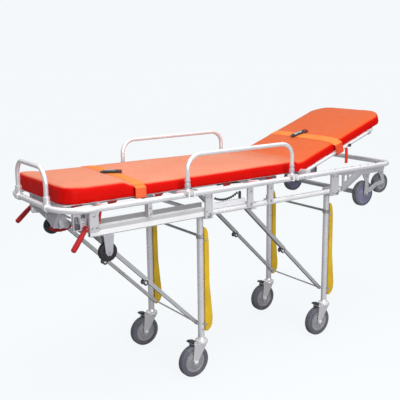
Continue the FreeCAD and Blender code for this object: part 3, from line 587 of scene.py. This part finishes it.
def plan_outline(inset, steps=9):
    """The mattress seen from above: round corners at the foot, a bowed end at the head."""
    half = HALF_WIDTH - inset
    points = []
    for side, first in ((1, 90), (-1, 180)):
        radius = FOOT_CORNER[side] - inset
        for k in range(steps + 1):
            angle = math.radians(first + 90 * k / steps)
            points.append((FOOT_CORNER[side] + radius * math.cos(angle),
                           side * (half - radius) + radius * math.sin(angle)))
    for k in range(1, 4 * steps):
        y = -half * math.cos(math.pi * k / (4 * steps))
        points.append((head_end(y) - inset, y))
    return points


def flat_pad():
    """Closed flat shape of the mattress, a little smaller than it ends up."""
    bm = bmesh.new()
    rings = []
    bottom = ((0.0, 8 * MM), (6 * MM, 3.5 * MM))
    top = ((15 * MM, 3.5 * MM), (8 * MM, 5 * MM), (4 * MM, 8.5 * MM), (2 * MM, 13 * MM))
    for t, inset in (*bottom, *((PAD_THICK - down, inset) for down, inset in top)):
        rings.append([bm.verts.new((s, y, t)) for s, y in plan_outline(inset)])
    bridge(bm, rings)
    return mesh_object("mattress", bm, "orange_vinyl")


def select_only(obj):
    for other in bpy.context.selected_objects:
        other.select_set(False)
    obj.select_set(True)
    bpy.context.view_layer.objects.active = obj


def apply_modifiers(obj):
    select_only(obj)
    for modifier in obj.modifiers[:]:
        bpy.ops.object.modifier_apply(modifier=modifier.name)


def keep_lie(obj, up_at):
    """Stores on each point how far its surface faces away from the bed under it, which lays out the painted
    light and shade of the mattress and straps.
    """
    lie = obj.data.attributes.new("lie", "FLOAT", "POINT")
    for vertex, item in zip(obj.data.vertices, lie.data):
        item.value = vertex.normal.dot(up_at(vertex.co))


def bed_up(place):
    """Away from the bed: straight up on its foot part, square to the backrest on its head part."""
    return Vector((0, 0, 1)).lerp(PROUD, head_share(place.x - HINGE.x)).normalized()


def even_mesh(obj, voxel):
    remesh = obj.modifiers.new("remesh", "REMESH")
    remesh.mode = "VOXEL"
    remesh.voxel_size = voxel
    apply_modifiers(obj)


def inflate(obj, cap):
    """Swells the shape with cloth pressure, bottom held flat, no point moving further than cap."""
    before = [v.co.copy() for v in obj.data.vertices]
    held = obj.vertex_groups.new(name="held")
    held.add([n for n, co in enumerate(before) if co.z < 2.5 * MM], 1.0, "REPLACE")
    cloth = obj.modifiers.new("cloth", "CLOTH")
    cloth.settings.use_pressure = True
    cloth.settings.uniform_pressure_force = 4
    cloth.settings.quality = 4
    cloth.settings.vertex_group_mass = "held"
    cloth.settings.effector_weights.gravity = 0
    cloth.point_cache.frame_start = 1
    cloth.point_cache.frame_end = CLOTH_STEPS
    for step in range(1, CLOTH_STEPS + 1):
        bpy.context.scene.frame_set(step)
    apply_modifiers(obj)
    bpy.context.scene.frame_set(1)
    for start, vertex in zip(before, obj.data.vertices):
        move = vertex.co - start
        if move.length > cap:
            vertex.co = start + move.normalized() * cap
        vertex.co.z = max(vertex.co.z, 0.0)


def settle(obj):
    """Adds the fold at the hinge, soft waves and the plump foot end, then bends the head part up."""
    fold = FLAT_HINGE - 14 * MM
    for vertex in obj.data.vertices:
        s, y, t = vertex.co
        height = t / PAD_THICK
        dip = math.exp(-((s - fold) / (11 * MM)) ** 2)
        rim = max(0, abs(y) - 0.19) / 0.06
        wave = noise.noise(Vector((s * 5.5, y * 9, 3.1)))
        wave += 0.5 * noise.noise(Vector((s * 17, y * 21, 7.7)))
        t -= height * (dip * (9 * MM + 4 * MM * rim) - wave * 1.3 * MM)
        y *= 1 - 0.010 * dip * height
        side_wave = noise.noise(Vector((s * 13, 0, y * 3)))
        y += math.copysign(side_wave * 1.6 * MM * min(1, rim) * (1 - abs(2 * height - 1)), y)
        edge = max(abs(y) - 0.236, FOOT_OVERHANG - s, s - FLAT_LENGTH + 0.02)
        droop = limit(edge / (9 * MM))
        t -= droop * (SKIRT * (1 - height) + 2 * MM * height)
        near_foot = max(0, 1 - s / FLAT_HINGE)
        t += y / HALF_WIDTH * height * 7 * MM * min(1, 2 * near_foot)
        step = limit((STRAP_EDGE - s) / (50 * MM))
        plump = step * step * (3 - 2 * step) * (1 - y / HALF_WIDTH) / 2
        t += height * (plump * 19 * MM + max(0, 1 - s / 0.10) * 9 * MM)
        vertex.co = bent(s, y, t)


mattress = flat_pad()
even_mesh(mattress, 8 * MM)
inflate(mattress, 5 * MM)
settle(mattress)
smooth = mattress.modifiers.new("smooth", "SMOOTH")
smooth.iterations = 3
finer = mattress.modifiers.new("finer", "SUBSURF")
finer.levels = 1
apply_modifiers(mattress)
for face in mattress.data.polygons:
    face.use_smooth = True
keep_lie(mattress, bed_up)
dress(mattress, "orange_vinyl")
mattress_skin = skin_of(mattress)
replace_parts(mattress, "main_pad", "backrest_pad")
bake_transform(mattress)


# ================================================================ straps

STRAP_WIDTH = 50 * MM
STRAP_THICK = 2 * MM
STRAP_GAP = 0.3 * MM
STRAP_COLUMNS = 8
# how far a strap may move off its guide to lie on the mattress, on top and down the sides
TOP_REACH = 25 * MM
SIDE_REACH = 9 * MM
RAY_START = 40 * MM
RAY_REACH = 70 * MM
PROUD_OF = {"root": Vector((0, 0, 1)), "backrest": PROUD}
MAIN_STRAP_X = centre("main_strap").x
BACK_STRAP_U = 265 * MM


def strap_guide(half_width, top, under, tuck, corner=14 * MM, under_corner=6 * MM, step=6 * MM):
    """Points and outward normals (across, up) from under one edge, over the top, to under the other."""
    straight = half_width - corner
    half_path = [((n * step, top), (0, 1)) for n in range(int(straight / step) + 1)]
    for n in range(7):
        angle = math.pi / 2 * (1 - n / 6)
        out = (math.cos(angle), math.sin(angle))
        half_path.append(((straight + corner * out[0], top - corner + corner * out[1]), out))
    low = under + under_corner
    for n in range(1, 8):
        half_path.append(((half_width, (top - corner) + (low - top + corner) * n / 7), (1, 0)))
    inner = half_width - under_corner
    for n in range(1, 5):
        angle = -math.pi / 2 * n / 4
        out = (math.cos(angle), math.sin(angle))
        half_path.append(((inner + under_corner * out[0], low + under_corner * out[1]), out))
    for n in range(1, int(tuck / step) + 1):
        half_path.append(((inner - n * step, under), (0, -1)))
    mirrored = [((-y, w), (-a, b)) for (y, w), (a, b) in reversed(half_path[1:])]
    return mirrored + half_path


def strap(name, body, place, along, guide, look):
    """A band following the guide, lying on the mattress wherever the mattress is under it."""
    bed = PROUD_OF[body]
    heights = [w for (_, w), _ in guide]
    top, low = max(heights), min(heights)
    edge = max(y for (y, _), _ in guide) - TOP_REACH
    sink = {}
    for side in (-1, 1):
        start = place(0, side * edge, top)
        hit = hit_from(mattress_skin, start + bed * RAY_START, -bed, RAY_REACH)
        sink[side] = (hit - start).dot(bed) if hit is not None else 0
    bm = bmesh.new()
    uv = bm.loops.layers.uv.new("UVMap")
    woven = {}
    grid = []
    travelled = 0
    previous = None
    columns = [(k / STRAP_COLUMNS - 0.5) * STRAP_WIDTH for k in range(STRAP_COLUMNS + 1)]
    for (y, w), (out_y, out_w) in guide:
        w += sink[1 if y > 0 else -1] * (w - low) / (top - low)
        outward = Vector((0, out_y, 0)) + bed * out_w
        lower = []
        upper = []
        for v in columns:
            base = place(0, y, w) + along * v
            hit = hit_from(mattress_skin, base + outward * RAY_START, -outward, RAY_REACH)
            reach = (hit - base).dot(outward) if hit is not None and out_w > -0.2 else 0
            reach = min(TOP_REACH if out_w > 0.99 else SIDE_REACH, max(-SIDE_REACH * abs(out_w), reach))
            thick = STRAP_THICK * (0.45 if v in (columns[0], columns[-1]) else 1)
            lower.append(base + outward * (reach + STRAP_GAP))
            upper.append(base + outward * (reach + STRAP_GAP + thick))
        middle = upper[STRAP_COLUMNS // 2]
        travelled += (middle - previous).length if previous is not None else 0
        previous = middle
        grid.append([bm.verts.new(point) for point in lower + upper[::-1]])
        for vertex, v in zip(grid[-1], columns + columns[::-1]):
            woven[vertex] = (travelled, v)
    bridge(bm, grid)
    for face in bm.faces:
        for loop in face.loops:
            loop[uv].uv = woven[loop.vert]
    band = ride_as(name, bm, look, body, angle=50)
    keep_lie(band, lambda place: bed)
    return band


def on_bed(u, y, w):
    return Vector((MAIN_STRAP_X + u, y, PAD_LOW.z + w))


def on_back_strap(u, y, w):
    return on_backrest(BACK_STRAP_U + u, y, w)


main_strap = strap("main_strap_band", "root", on_bed, Vector((1, 0, 0)),
                   strap_guide(0.2575, PAD_THICK, -9 * MM, 30 * MM), "amber_webbing")
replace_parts(main_strap, "main_strap")
back_strap = strap("backrest_strap_band", "backrest", on_back_strap, ALONG,
                   strap_guide(0.2545, 45 * MM, -25 * MM, 18 * MM), "deep_webbing")
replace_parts(back_strap, "backrest_strap")


# ================================================================ wheels

# a hub's face from its bearing cap outwards: (share of the half width above the face, share of the rim)
HUB_RINGS = ((0.0, 0.16), (0.02, 0.30), (-0.10, 0.33), (-0.12, 0.42), (-0.02, 0.46), (-0.02, 0.56),
             (-0.12, 0.60), (-0.14, 0.80), (-0.04, 0.86), (-0.04, 0.93), (-0.16, 0.965), (-0.2, 1.004))


def wheel(name, body, node, joint, tyre_look, hub_look, share):
    """Round-shouldered tyre and ringed hub, in place of one CAD wheel."""
    low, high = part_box(node)
    axle = pivot(joint)
    outer = (high.z - low.z) / 2
    half = (high.y - low.y) / 2
    place = Vector((axle.x, (high.y + low.y) / 2, axle.z))
    rim = outer * share
    bm = bmesh.new()
    lathe(bm, rounded_profile(half, rim, outer, half * 0.55, 7), place, (0, 1, 0), 72)
    tyre = ride_as(f"{name}_tyre", bm, tyre_look, body, angle=35)
    bm = bmesh.new()
    face = half * 0.93
    right = [(face + half * depth, rim * radius) for depth, radius in HUB_RINGS]
    left = [(-a, r) for a, r in reversed(right)]
    lathe(bm, right + left, place, (0, 1, 0), 48)
    ride_as(f"{name}_hub", bm, hub_look, body, 28)
    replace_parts(tyre, node)


# looks of tyre and hub, and the rim's share of the wheel, for each kind of wheel on the frame
FRAME_WHEELS = {
    "loading": ("mid_tyre", "violet_wheel", 0.86),
    "guide": ("grey_tyre", "grey_hub", 0.70),
    "small": ("black_rubber", "black_plastic", 0.66),
}
for side in SIDES:
    for pair in PAIRS:
        name = f"{pair}_{side}"
        wheel(f"{name}_caster", f"{name}_wheel", f"{name}_caster_wheel", f"{name}_wheel_spin",
              "grey_tyre", "grey_hub", 0.72)
    for kind, looks in FRAME_WHEELS.items():
        name = f"{side}_{kind}_wheel"
        wheel(f"{side}_{kind}", name, name, f"{name}_spin", *looks)


# ================================================================ fittings

def surface_of(*nodes):
    """A ray-cast tree of CAD nodes together."""
    return skin_of(*(frame["nodes"][name] for name in nodes))


# rays at the frame's sides start outside it and end short of its middle
OUTSIDE = 340
TO_MIDDLE = 0.32


def side_bolts(bm, skin, side, places, height=0.8):
    """Bolts on what rays from the side meet; places are (x, z, radius) in mm, height a share of radius."""
    for x, z, radius in places:
        hit = hit_from(skin, mm(x, side * OUTSIDE, z), Vector((0, -side, 0)), TO_MIDDLE)
        if hit is not None:
            dome_bolt(bm, hit, (0, side, 0), radius * MM, radius * height * MM)


# bolts on the frame's sides, as (x, z, radius) in mm
FRAME_BOLTS = [
    # lock housing and foot-end plate
    (-838, 820, 3.5), (-819, 802, 4), (-797, 802, 4), (-808, 850, 4), (-785, 790, 5),
    # leg hinge castings and the posts between them
    (-553, 845, 4), (-553, 820, 4), (-265, 852, 4), (-246, 852, 4), (-255, 768, 8), (-268, 790, 3.5),
    (508, 768, 4), (508, 852, 4), (536, 852, 4), (538, 768, 8),
    # strut brackets
    (-22, 786, 4), (-22, 846, 4), (100, 786, 4), (100, 846, 4),
    # head plates and loading wheel arms
    (601, 780, 4), (758, 731, 8), (887, 771, 7), (755, 826, 4), (864, 828, 4),
    (640, 856, 3), (700, 850, 3), (730, 850, 3), (810, 850, 3), (835, 850, 3),
]
# where the posts of each side rail stand
POST_X = {-1: (-375, 216), 1: (-343, 262)}
root_skin = surface_of("frame_brackets", "frame_pins", "head_plates", "diagonal_braces", "side_channels",
                       "loading_wheel_arms", "loading_axle", "rail_bars")
bm = bmesh.new()
for side in SIDES.values():
    side_bolts(bm, root_skin, side, FRAME_BOLTS)
    for post in POST_X[side]:
        for end in (-1, 1):
            dome_bolt(bm, mm(post + 17.5 * end, side * 322, 884), (end, 0, 0), 5 * MM, 4 * MM)
ride_as("frame_bolts", bm, "zinc_steel", "root")

# spring latch on the left lock housing: dark backing plates, a coil spring and the arm it pulls
dark = bmesh.new()
light = bmesh.new()
for x, z, wide, tall in ((-864, 821, 24, 52), (-838, 846, 18, 16)):
    hit = hit_from(root_skin, mm(x, -OUTSIDE, z), Vector((0, 1, 0)), TO_MIDDLE)
    soft_block(dark, mm(wide, 2.4, tall), Matrix.Translation(hit + mm(0, -1, 0)), 0.8 * MM)
    dome_bolt(light, hit + mm(-1, -2.2, 0.32 * tall - 14), (0, -1, 0), 3.0 * MM, 1.8 * MM)
face = hit_from(root_skin, mm(-868, -OUTSIDE, 820), Vector((0, 1, 0)), TO_MIDDLE).y / MM
coil = []
for n in range(97):
    turn = 2 * math.pi * n / 12
    coil.append(mm(-870 + 2.6 * math.cos(turn), face - 4 + 2.6 * math.sin(turn), 822 + n / 4))
swept_tube(light, coil, 1.1 * MM, 8)
soft_block(light, mm(6, 3, 30), at(-856, face - 3, 832), 1 * MM)
ride_as("latch_plates", dark, "dark_steel", "root")
ride_as("latch_spring", light, "zinc_steel", "root")

# dark rivet heads along the top of the upper tubes at the head end
bm = bmesh.new()
tube_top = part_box("upper_frame")[1].z / MM
for side in SIDES.values():
    for x in range(520, 881, 60):
        dome_bolt(bm, mm(x, side * 291, tube_top - 1.2), (0, side * -0.2, 1), 3.2 * MM, 3 * MM)
ride_as("frame_rivets", bm, "dark_steel", "root")

# profiles of (along the axis, radius) in mm: the knees' rings and bolts, and the casters' bearing races
KNEE_RING = [(0.2, 3), (0.2, 12.5), (1.2, 13), (2.6, 13), (3.2, 12), (3.2, 8.5), (2.0, 8), (2.0, 3)]
KNEE_BOLT = [(1.0, 0.5), (1.0, 5.5), (3.6, 5.5), (4.2, 4.2), (4.2, 0.5)]
RACE = [(153, 5), (153, 26), (155, 29.5), (162, 30.5), (167, 29), (169, 24), (172, 19), (178, 16), (183, 15),
        (183, 5)]
for pair in PAIRS:
    hinge = pivot(f"{pair}_leg_fold").x / MM
    legs = surface_of(f"{pair}_leg_tubes", f"{pair}_leg_guards", f"{pair}_leg_crossbar")
    offsets = ((24, 640, 4), (22, 240, 4), (0, 660, 4), (0, 250, 3.5), (0, 222, 3.5))
    places = [(hinge + ahead, z, radius) for ahead, z, radius in offsets]
    bm = bmesh.new()
    for side in SIDES.values():
        side_bolts(bm, legs, side, places)
    ride_as(f"{pair}_leg_bolts", bm, "zinc_steel", f"{pair}_legs")
    knee = pivot(f"{pair}_knee_hinge") + mm(-9, 0, -10)
    outer_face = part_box(f"{pair}_strut_upper")[1].y - 3 * MM
    plates = bmesh.new()
    bm = bmesh.new()
    for side in SIDES.values():
        for face, outward in ((outer_face, 1), (outer_face - 20 * MM, -1)):
            place = (knee.x, side * face, knee.z)
            lathe(plates, in_mm(KNEE_RING), place, (0, side * outward, 0), 28)
            lathe(bm, in_mm(KNEE_BOLT), place, (0, side * outward, 0), 18)
    ride_as(f"{pair}_knee_plates", plates, "dark_steel", f"{pair}_strut_upper")
    ride_as(f"{pair}_knee_bolts", bm, "bright_steel", f"{pair}_strut_upper")
    for name in SIDES:
        caster = pivot(f"{pair}_{name}_wheel_spin")
        fork = surface_of(f"{pair}_{name}_caster_fork")
        bm = bmesh.new()
        for sign in (-1, 1):
            hit = hit_from(fork, caster + mm(0, sign * 60, 0), Vector((0, -sign, 0)), 60 * MM)
            dome_bolt(bm, hit, (0, sign, 0), 7 * MM, 6 * MM)
        lathe(bm, in_mm(RACE), (hinge * MM, caster.y, 0), (0, 0, 1), 36)
        ride_as(f"{pair}_{name}_caster_race", bm, "bright_steel", f"{pair}_{name}_caster")


def slab(bm, outline, depth, soft):
    """A plate with the given outline (mm) in space, thickened by depth (mm) and softened along its edges."""
    part = bmesh.new()
    front = [part.verts.new(mm(*point)) for point in outline]
    back = [part.verts.new(mm(*point) + mm(*depth)) for point in outline]
    part.faces.new(front)
    part.faces.new(list(reversed(back)))
    count = len(outline)
    for n in range(count):
        part.faces.new((front[n], back[n], back[(n + 1) % count], front[(n + 1) % count]))
    bmesh.ops.bevel(part, geom=part.edges[:], offset=soft * MM, segments=3, profile=0.5, affect="EDGES")
    bmesh.ops.triangulate(part, faces=[face for face in part.faces if len(face.verts) > 4])
    add_part(bm, part)


# cast bracket under the near half of the foot tube: web, ribs (y, low, high) and top flange
bm = bmesh.new()
web = [(-936, -6, 858), (-936, -100, 857), (-917, -197, 856), (-864, -198, 812), (-880, -196, 792),
       (-922, -158, 790), (-932, -112, 826), (-936, -6, 848)]
slab(bm, web, (9, 0, 0), 2)
for y, low, high in ((118, 822, 853), (142, 802, 850), (164, 796, 842), (184, 796, 832)):
    front = -938 + (y - 118) * 0.42
    rib = [(front, -y, high), (front + 5, -y, low), (front + 32, -y, low - 4), (front + 32, -y, high)]
    slab(bm, rib, (0, -5, 0), 1.2)
slab(bm, [(-905, -96, 856), (-905, -200, 852), (-862, -200, 836), (-862, -110, 836)], (0, 0, -8), 2)
ride_as("foot_bracket", bm, "grey_casting", "root")
# and the release knob at its end
bm = bmesh.new()
knob = [(0, 4), (1, 9), (4, 11.5), (14, 12), (17, 10), (30, 9.5), (34, 6)]
lathe(bm, in_mm(knob), mm(-950, -16, 842), (1, 0, 0), 28, closed=False)
ride_as("foot_knob", bm, "satin_tube", "root")

# dipped grips of the two release levers, fatter towards their ends, on the hubs they turn about
GRIP = [(-2, 4), (4, 8.5), (14, 8.8), (16, 9.6), (30, 9.8), (32, 10.6), (84, 11.4), (88, 11), (99, 10.8),
        (103, 8), (105, 4)]
GRIP_HUB = [(-9.2, 4), (-9.2, 9), (-8, 10), (8, 10), (9.2, 9), (9.2, 4)]
for name, lean in zip(SIDES, (36, 49)):
    hub = pivot(f"{name}_release_pull")
    down = Vector((-math.sin(math.radians(lean)), 0, -math.cos(math.radians(lean))))
    bm = bmesh.new()
    lathe(bm, in_mm(GRIP), hub, down, 28, closed=False)
    lathe(bm, in_mm(GRIP_HUB), hub, (0, 1, 0), 28)
    lever = ride_as(f"{name}_lever_grip", bm, "red_lever", f"{name}_release_lever")
    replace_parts(lever, f"{name}_release_lever")

# red release rod between the channels, hung from the first deck bearer
bm = bmesh.new()
rod_line = ((-868, 750), (-856, 743), (-842, 737), (-822, 734), (-800, 736), (-782, 742), (-768, 752))
swept_tube(bm, [mm(x, 0, z) for x, z in rod_line], 6.5 * MM)
ride_as("release_rod", bm, "red_lever", "root")
bm = bmesh.new()
swept_tube(bm, [mm(x, 0, z) for x, z in ((-760, 868), (-762, 820), (-768, 752))], 4 * MM)
ride_as("release_hanger", bm, "zinc_steel", "root")

# cloth flaps that tie the mattress down at its foot end and along its edge
bm = bmesh.new()
for side in SIDES.values():
    for x, y, span in ((-842, 214, 60), (-700, 243, 50), (-480, 243, 46), (-120, 243, 50), (130, 243, 46)):
        left, right = x - span / 2, x + span / 2
        flap = [(left, side * y, 888), (right, side * y, 888), (right - 7, side * (y - 5), 876),
                (left + 9, side * (y - 6), 874)]
        slab(bm, flap, (0, side * 2.4, 0), 0.8)
ride_as("mattress_ties", bm, "dark_vinyl", "root")


# lock bars on the rail bars, just ahead of the foot leg hinges, with a toothed chain that sags over each
CHAIN_TEETH = 12
bm = bmesh.new()
teeth = bmesh.new()
for side in SIDES.values():
    soft_block(bm, mm(198, 12, 26), at(-137, side * 268, 801), 2 * MM)
    links = []
    for n in range(CHAIN_TEETH):
        share = n / (CHAIN_TEETH - 1)
        link = (-206 + 122 * share, side * 268, 822 + 62 * (share - 0.42) ** 2)
        tilt = turned(-math.degrees(math.atan(1.02 * (share - 0.42))), "Y")
        soft_block(teeth, mm(6, 6, 11), at(*link) @ tilt, 1 * MM)
        links.append(mm(*link))
    swept_tube(teeth, links, 2.2 * MM, 10)
    soft_block(teeth, mm(12, 9, 34), at(-68, side * 268, 832), 2.5 * MM)
ride_as("lock_bars", bm, "white_casting", "root")
ride_as("lock_teeth", teeth, "black_plastic", "root")

POST_COLLAR = [(-10, 9.6), (-10, 11.5), (-8, 12.4), (8, 12.4), (10, 11.5), (10, 9.6)]
for name, side in SIDES.items():
    bm = bmesh.new()
    for post in POST_X[side]:
        for z, stretch in ((916, 1.0), (938, 0.35)):
            collar = [(a * stretch, r) for a, r in POST_COLLAR]
            lathe(bm, in_mm(collar), mm(post, side * 303, z), (0, 0, 1), 28)
    ride_as(f"{name}_rail_collars", bm, "grey_casting", f"{name}_side_rail")


# ---------------------------------------------------------------- buckles

def buckle(name, body, place, silver):
    """Press-button buckle: rounded case and its two arms, ribbed top plate, button between the arms."""
    bm = bmesh.new()
    soft_block(bm, mm(29, 62, 11), place @ at(0, 6, 6.5), 4 * MM)
    soft_block(bm, mm(24, 20, 6), place @ at(0, 38, 5.5), 2.5 * MM)
    for x in (-13, 13):
        soft_block(bm, mm(4, 24, 10), place @ at(x, -33, 6.5), 1.8 * MM)
    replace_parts(ride_as(f"{name}_case", bm, "black_plastic", body, angle=40), name)
    bm = bmesh.new()
    soft_block(bm, mm(19, 44, 1.6), place @ at(0, 8, 12.4), 0.7 * MM)
    for y in (-6, 2, 10, 18):
        soft_block(bm, mm(15, 2, 1.6), place @ at(0, y, 13.4), 0.6 * MM)
    ride_as(f"{name}_plate", bm, "zinc_steel" if silver else "grey_hub", body, 40)
    bm = bmesh.new()
    soft_block(bm, mm(20, 17, 6), place @ at(0, -38.5, 6.5), 2 * MM)
    cap = ride_as(f"{name}_button_cap", bm, "red_lever", f"{name}_button", angle=40)
    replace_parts(cap, f"{name}_button")


def lie_on(band, place, up, reach):
    """Where a buckle clears its strap and the mattress all round a place."""
    skins = (skin_of(band), mattress_skin)
    side = up.cross(Vector((0, 1, 0)))
    best = -1
    for along in (-1, 0, 1):
        for across in (-1, -0.5, 0, 0.5, 1):
            start = place + Vector((0, across * reach, 0)) + side * along * 0.4 * reach + up * 0.06
            for skin in skins:
                hit = hit_from(skin, start, -up, 0.12)
                if hit is not None:
                    best = max(best, (hit - place).dot(up))
    return Matrix.Translation(place + up * (best - 1 * MM))


BUCKLE_REACH = 22 * MM
spot = lie_on(main_strap, Vector((MAIN_STRAP_X, -10 * MM, PAD_HIGH.z)), PROUD_OF["root"], BUCKLE_REACH)
buckle("main_buckle", "root", spot @ turned(58, "Z"), silver=False)
spot = lie_on(back_strap, on_backrest(BACK_STRAP_U + 10 * MM, 28 * MM, 45 * MM), PROUD, BUCKLE_REACH)
spot = spot @ turned(-math.degrees(TILT), "Y")
buckle("backrest_buckle", "backrest", spot @ turned(67, "Z"), silver=True)


# ---------------------------------------------------------------- loose end of the backrest strap, stop

TAIL_U = 322 * MM
bm = bmesh.new()
top = on_backrest(TAIL_U, -0.243, -22 * MM)
rows = []
for x, y, z in ((0, 0, 0), (2, -1, -26), (0, -3, -52), (2, -1, -78)):
    corners = ((-10, -1.2), (10, -1.2), (10, 1.2), (-10, 1.2))
    rows.append([bm.verts.new(top + mm(x + across, y + off, z)) for across, off in corners])
bridge(bm, rows)
ride_as("strap_tail", bm, "red_webbing", "backrest", angle=50)
bm = bmesh.new()
knob = [(0, 3), (0.5, 7), (4, 8.5), (10, 8), (13, 5)]
lathe(bm, in_mm(knob), on_backrest(TAIL_U + 16 * MM, -0.248, -13 * MM), (0, -1, 0), 20, closed=False)
ride_as("backrest_stop", bm, "dark_grip", "backrest")
bm = bmesh.new()
collar = [(-9, 9.2), (-9, 11.5), (-7, 12.5), (7, 12.5), (9, 11.5), (9, 9.2)]
for side in SIDES.values():
    lathe(bm, in_mm(collar), on_backrest(0.5, side * 0.24, -13 * MM), ALONG, 24)
ride_as("backrest_collars", bm, "grey_casting", "backrest")


# ================================================================ finishes on the CAD parts that stay

NODE_LOOKS = {"frame_brackets": "pale_casting", "rail_bars": "white_bar"}
for pair in PAIRS:
    NODE_LOOKS[f"{pair}_leg_tubes"] = "satin_leg"
    NODE_LOOKS[f"{pair}_leg_crossbar"] = "thin_bar"
    for name in SIDES:
        NODE_LOOKS[f"{pair}_{name}_caster_fork"] = "fork_steel"
    NODE_LOOKS[f"{pair}_strut_upper"] = f"{pair}_strut"
    NODE_LOOKS[f"{pair}_strut_lower"] = f"{pair}_strut"
for name, node in frame["nodes"].items():
    dress(node, NODE_LOOKS.get(name, node.data.materials[0].name))


# ================================================================ stage, light and camera

BACKDROP = (0.905, 0.939, 0.956)
FLOOR_GLOW = 1.185
BED_MIDDLE = Vector((0, 0, 0.7))
CAMERA_PLACE = (-1.9625, -2.6218, 1.4675)
YAW, PITCH, ROLL = (math.radians(angle) for angle in (35.4327, 12.3002, -0.7142))
SENSOR_WIDTH = 36
LENS = 61.57


def stage():
    """Pale seamless floor with a faint contact shadow, and a room that is bright above and dim around."""
    bm = bmesh.new()
    bmesh.ops.create_grid(bm, x_segments=2, y_segments=2, size=60)
    floor = mesh_object("floor", bm, "white_casting")
    finish = Finish("pale_floor")
    tint = finish.between(finish.noise(0.8, 3), 0.3, 0.7)
    seen = finish.add("ShaderNodeLightPath").outputs["Is Camera Ray"]
    shade = finish.mixed(tint, (0.30, 0.305, 0.31), (0.32, 0.325, 0.33))
    finish.set(color=shade, roughness=0.9, specular=0.1)
    paper = finish.add("ShaderNodeEmission", {"Color": BACKDROP, "Strength": FLOOR_GLOW})
    share = finish.times(seen, 0.8)
    inputs = {0: share, 1: finish.surface.outputs[0], 2: paper.outputs[0]}
    both = finish.add("ShaderNodeMixShader", inputs).outputs[0]
    finish.feed(finish.tree.nodes["Material Output"].inputs["Surface"], both)
    floor.data.materials.clear()
    floor.data.materials.append(finish.material)
    floor.location.z = -0.5 * MM
    world = bpy.data.worlds.new("studio")
    world.use_nodes = True
    room = Nodes(world.node_tree)
    height = room.part_of(room.add("ShaderNodeTexCoord").outputs["Generated"], 2)
    glow = room.between(height, 0.02, 0.8, 0.22, 0.95)
    around = room.mixed(glow, (0, 0, 0), (1, 1, 1))
    seen = room.add("ShaderNodeLightPath").outputs["Is Camera Ray"]
    room.feed(world.node_tree.nodes["Background"].inputs["Color"], room.mixed(seen, around, BACKDROP))
    bpy.context.scene.world = world


def softbox(name, place, size, power):
    """A rectangular lamp that faces the bed's middle."""
    data = bpy.data.lights.new(name, "AREA")
    data.shape = "RECTANGLE"
    data.size, data.size_y = size
    data.energy = power
    lamp = bpy.data.objects.new(name, data)
    lamp.location = place
    lamp.rotation_euler = (BED_MIDDLE - lamp.location).to_track_quat("-Z", "Y").to_euler()
    bpy.context.scene.collection.objects.link(lamp)


def camera():
    """Stands at the foot end, left of the trolley, a little above the bed and looking down its length."""
    level = Vector((math.sin(YAW), math.cos(YAW), 0))
    forward = level * math.cos(PITCH) - Vector((0, 0, math.sin(PITCH)))
    right = Vector((math.cos(YAW), -math.sin(YAW), 0))
    up = right.cross(forward)
    turned_right = right * math.cos(ROLL) + up * math.sin(ROLL)
    turned_up = up * math.cos(ROLL) - right * math.sin(ROLL)
    data = bpy.data.cameras.new("camera")
    data.sensor_width = SENSOR_WIDTH
    data.lens = LENS
    obj = bpy.data.objects.new("camera", data)
    bpy.context.scene.collection.objects.link(obj)
    turn = Matrix((turned_right, turned_up, -forward)).transposed()
    obj.matrix_world = Matrix.Translation(CAMERA_PLACE) @ turn.to_4x4()
    bpy.context.scene.camera = obj


stage()
softbox("overhead", (-0.4, -0.6, 3.2), (2.4, 1.4), 52)
softbox("front", (-0.9, -4.0, 1.8), (1.8, 1.6), 92)
camera()
bpy.context.scene.view_settings.view_transform = "Standard"
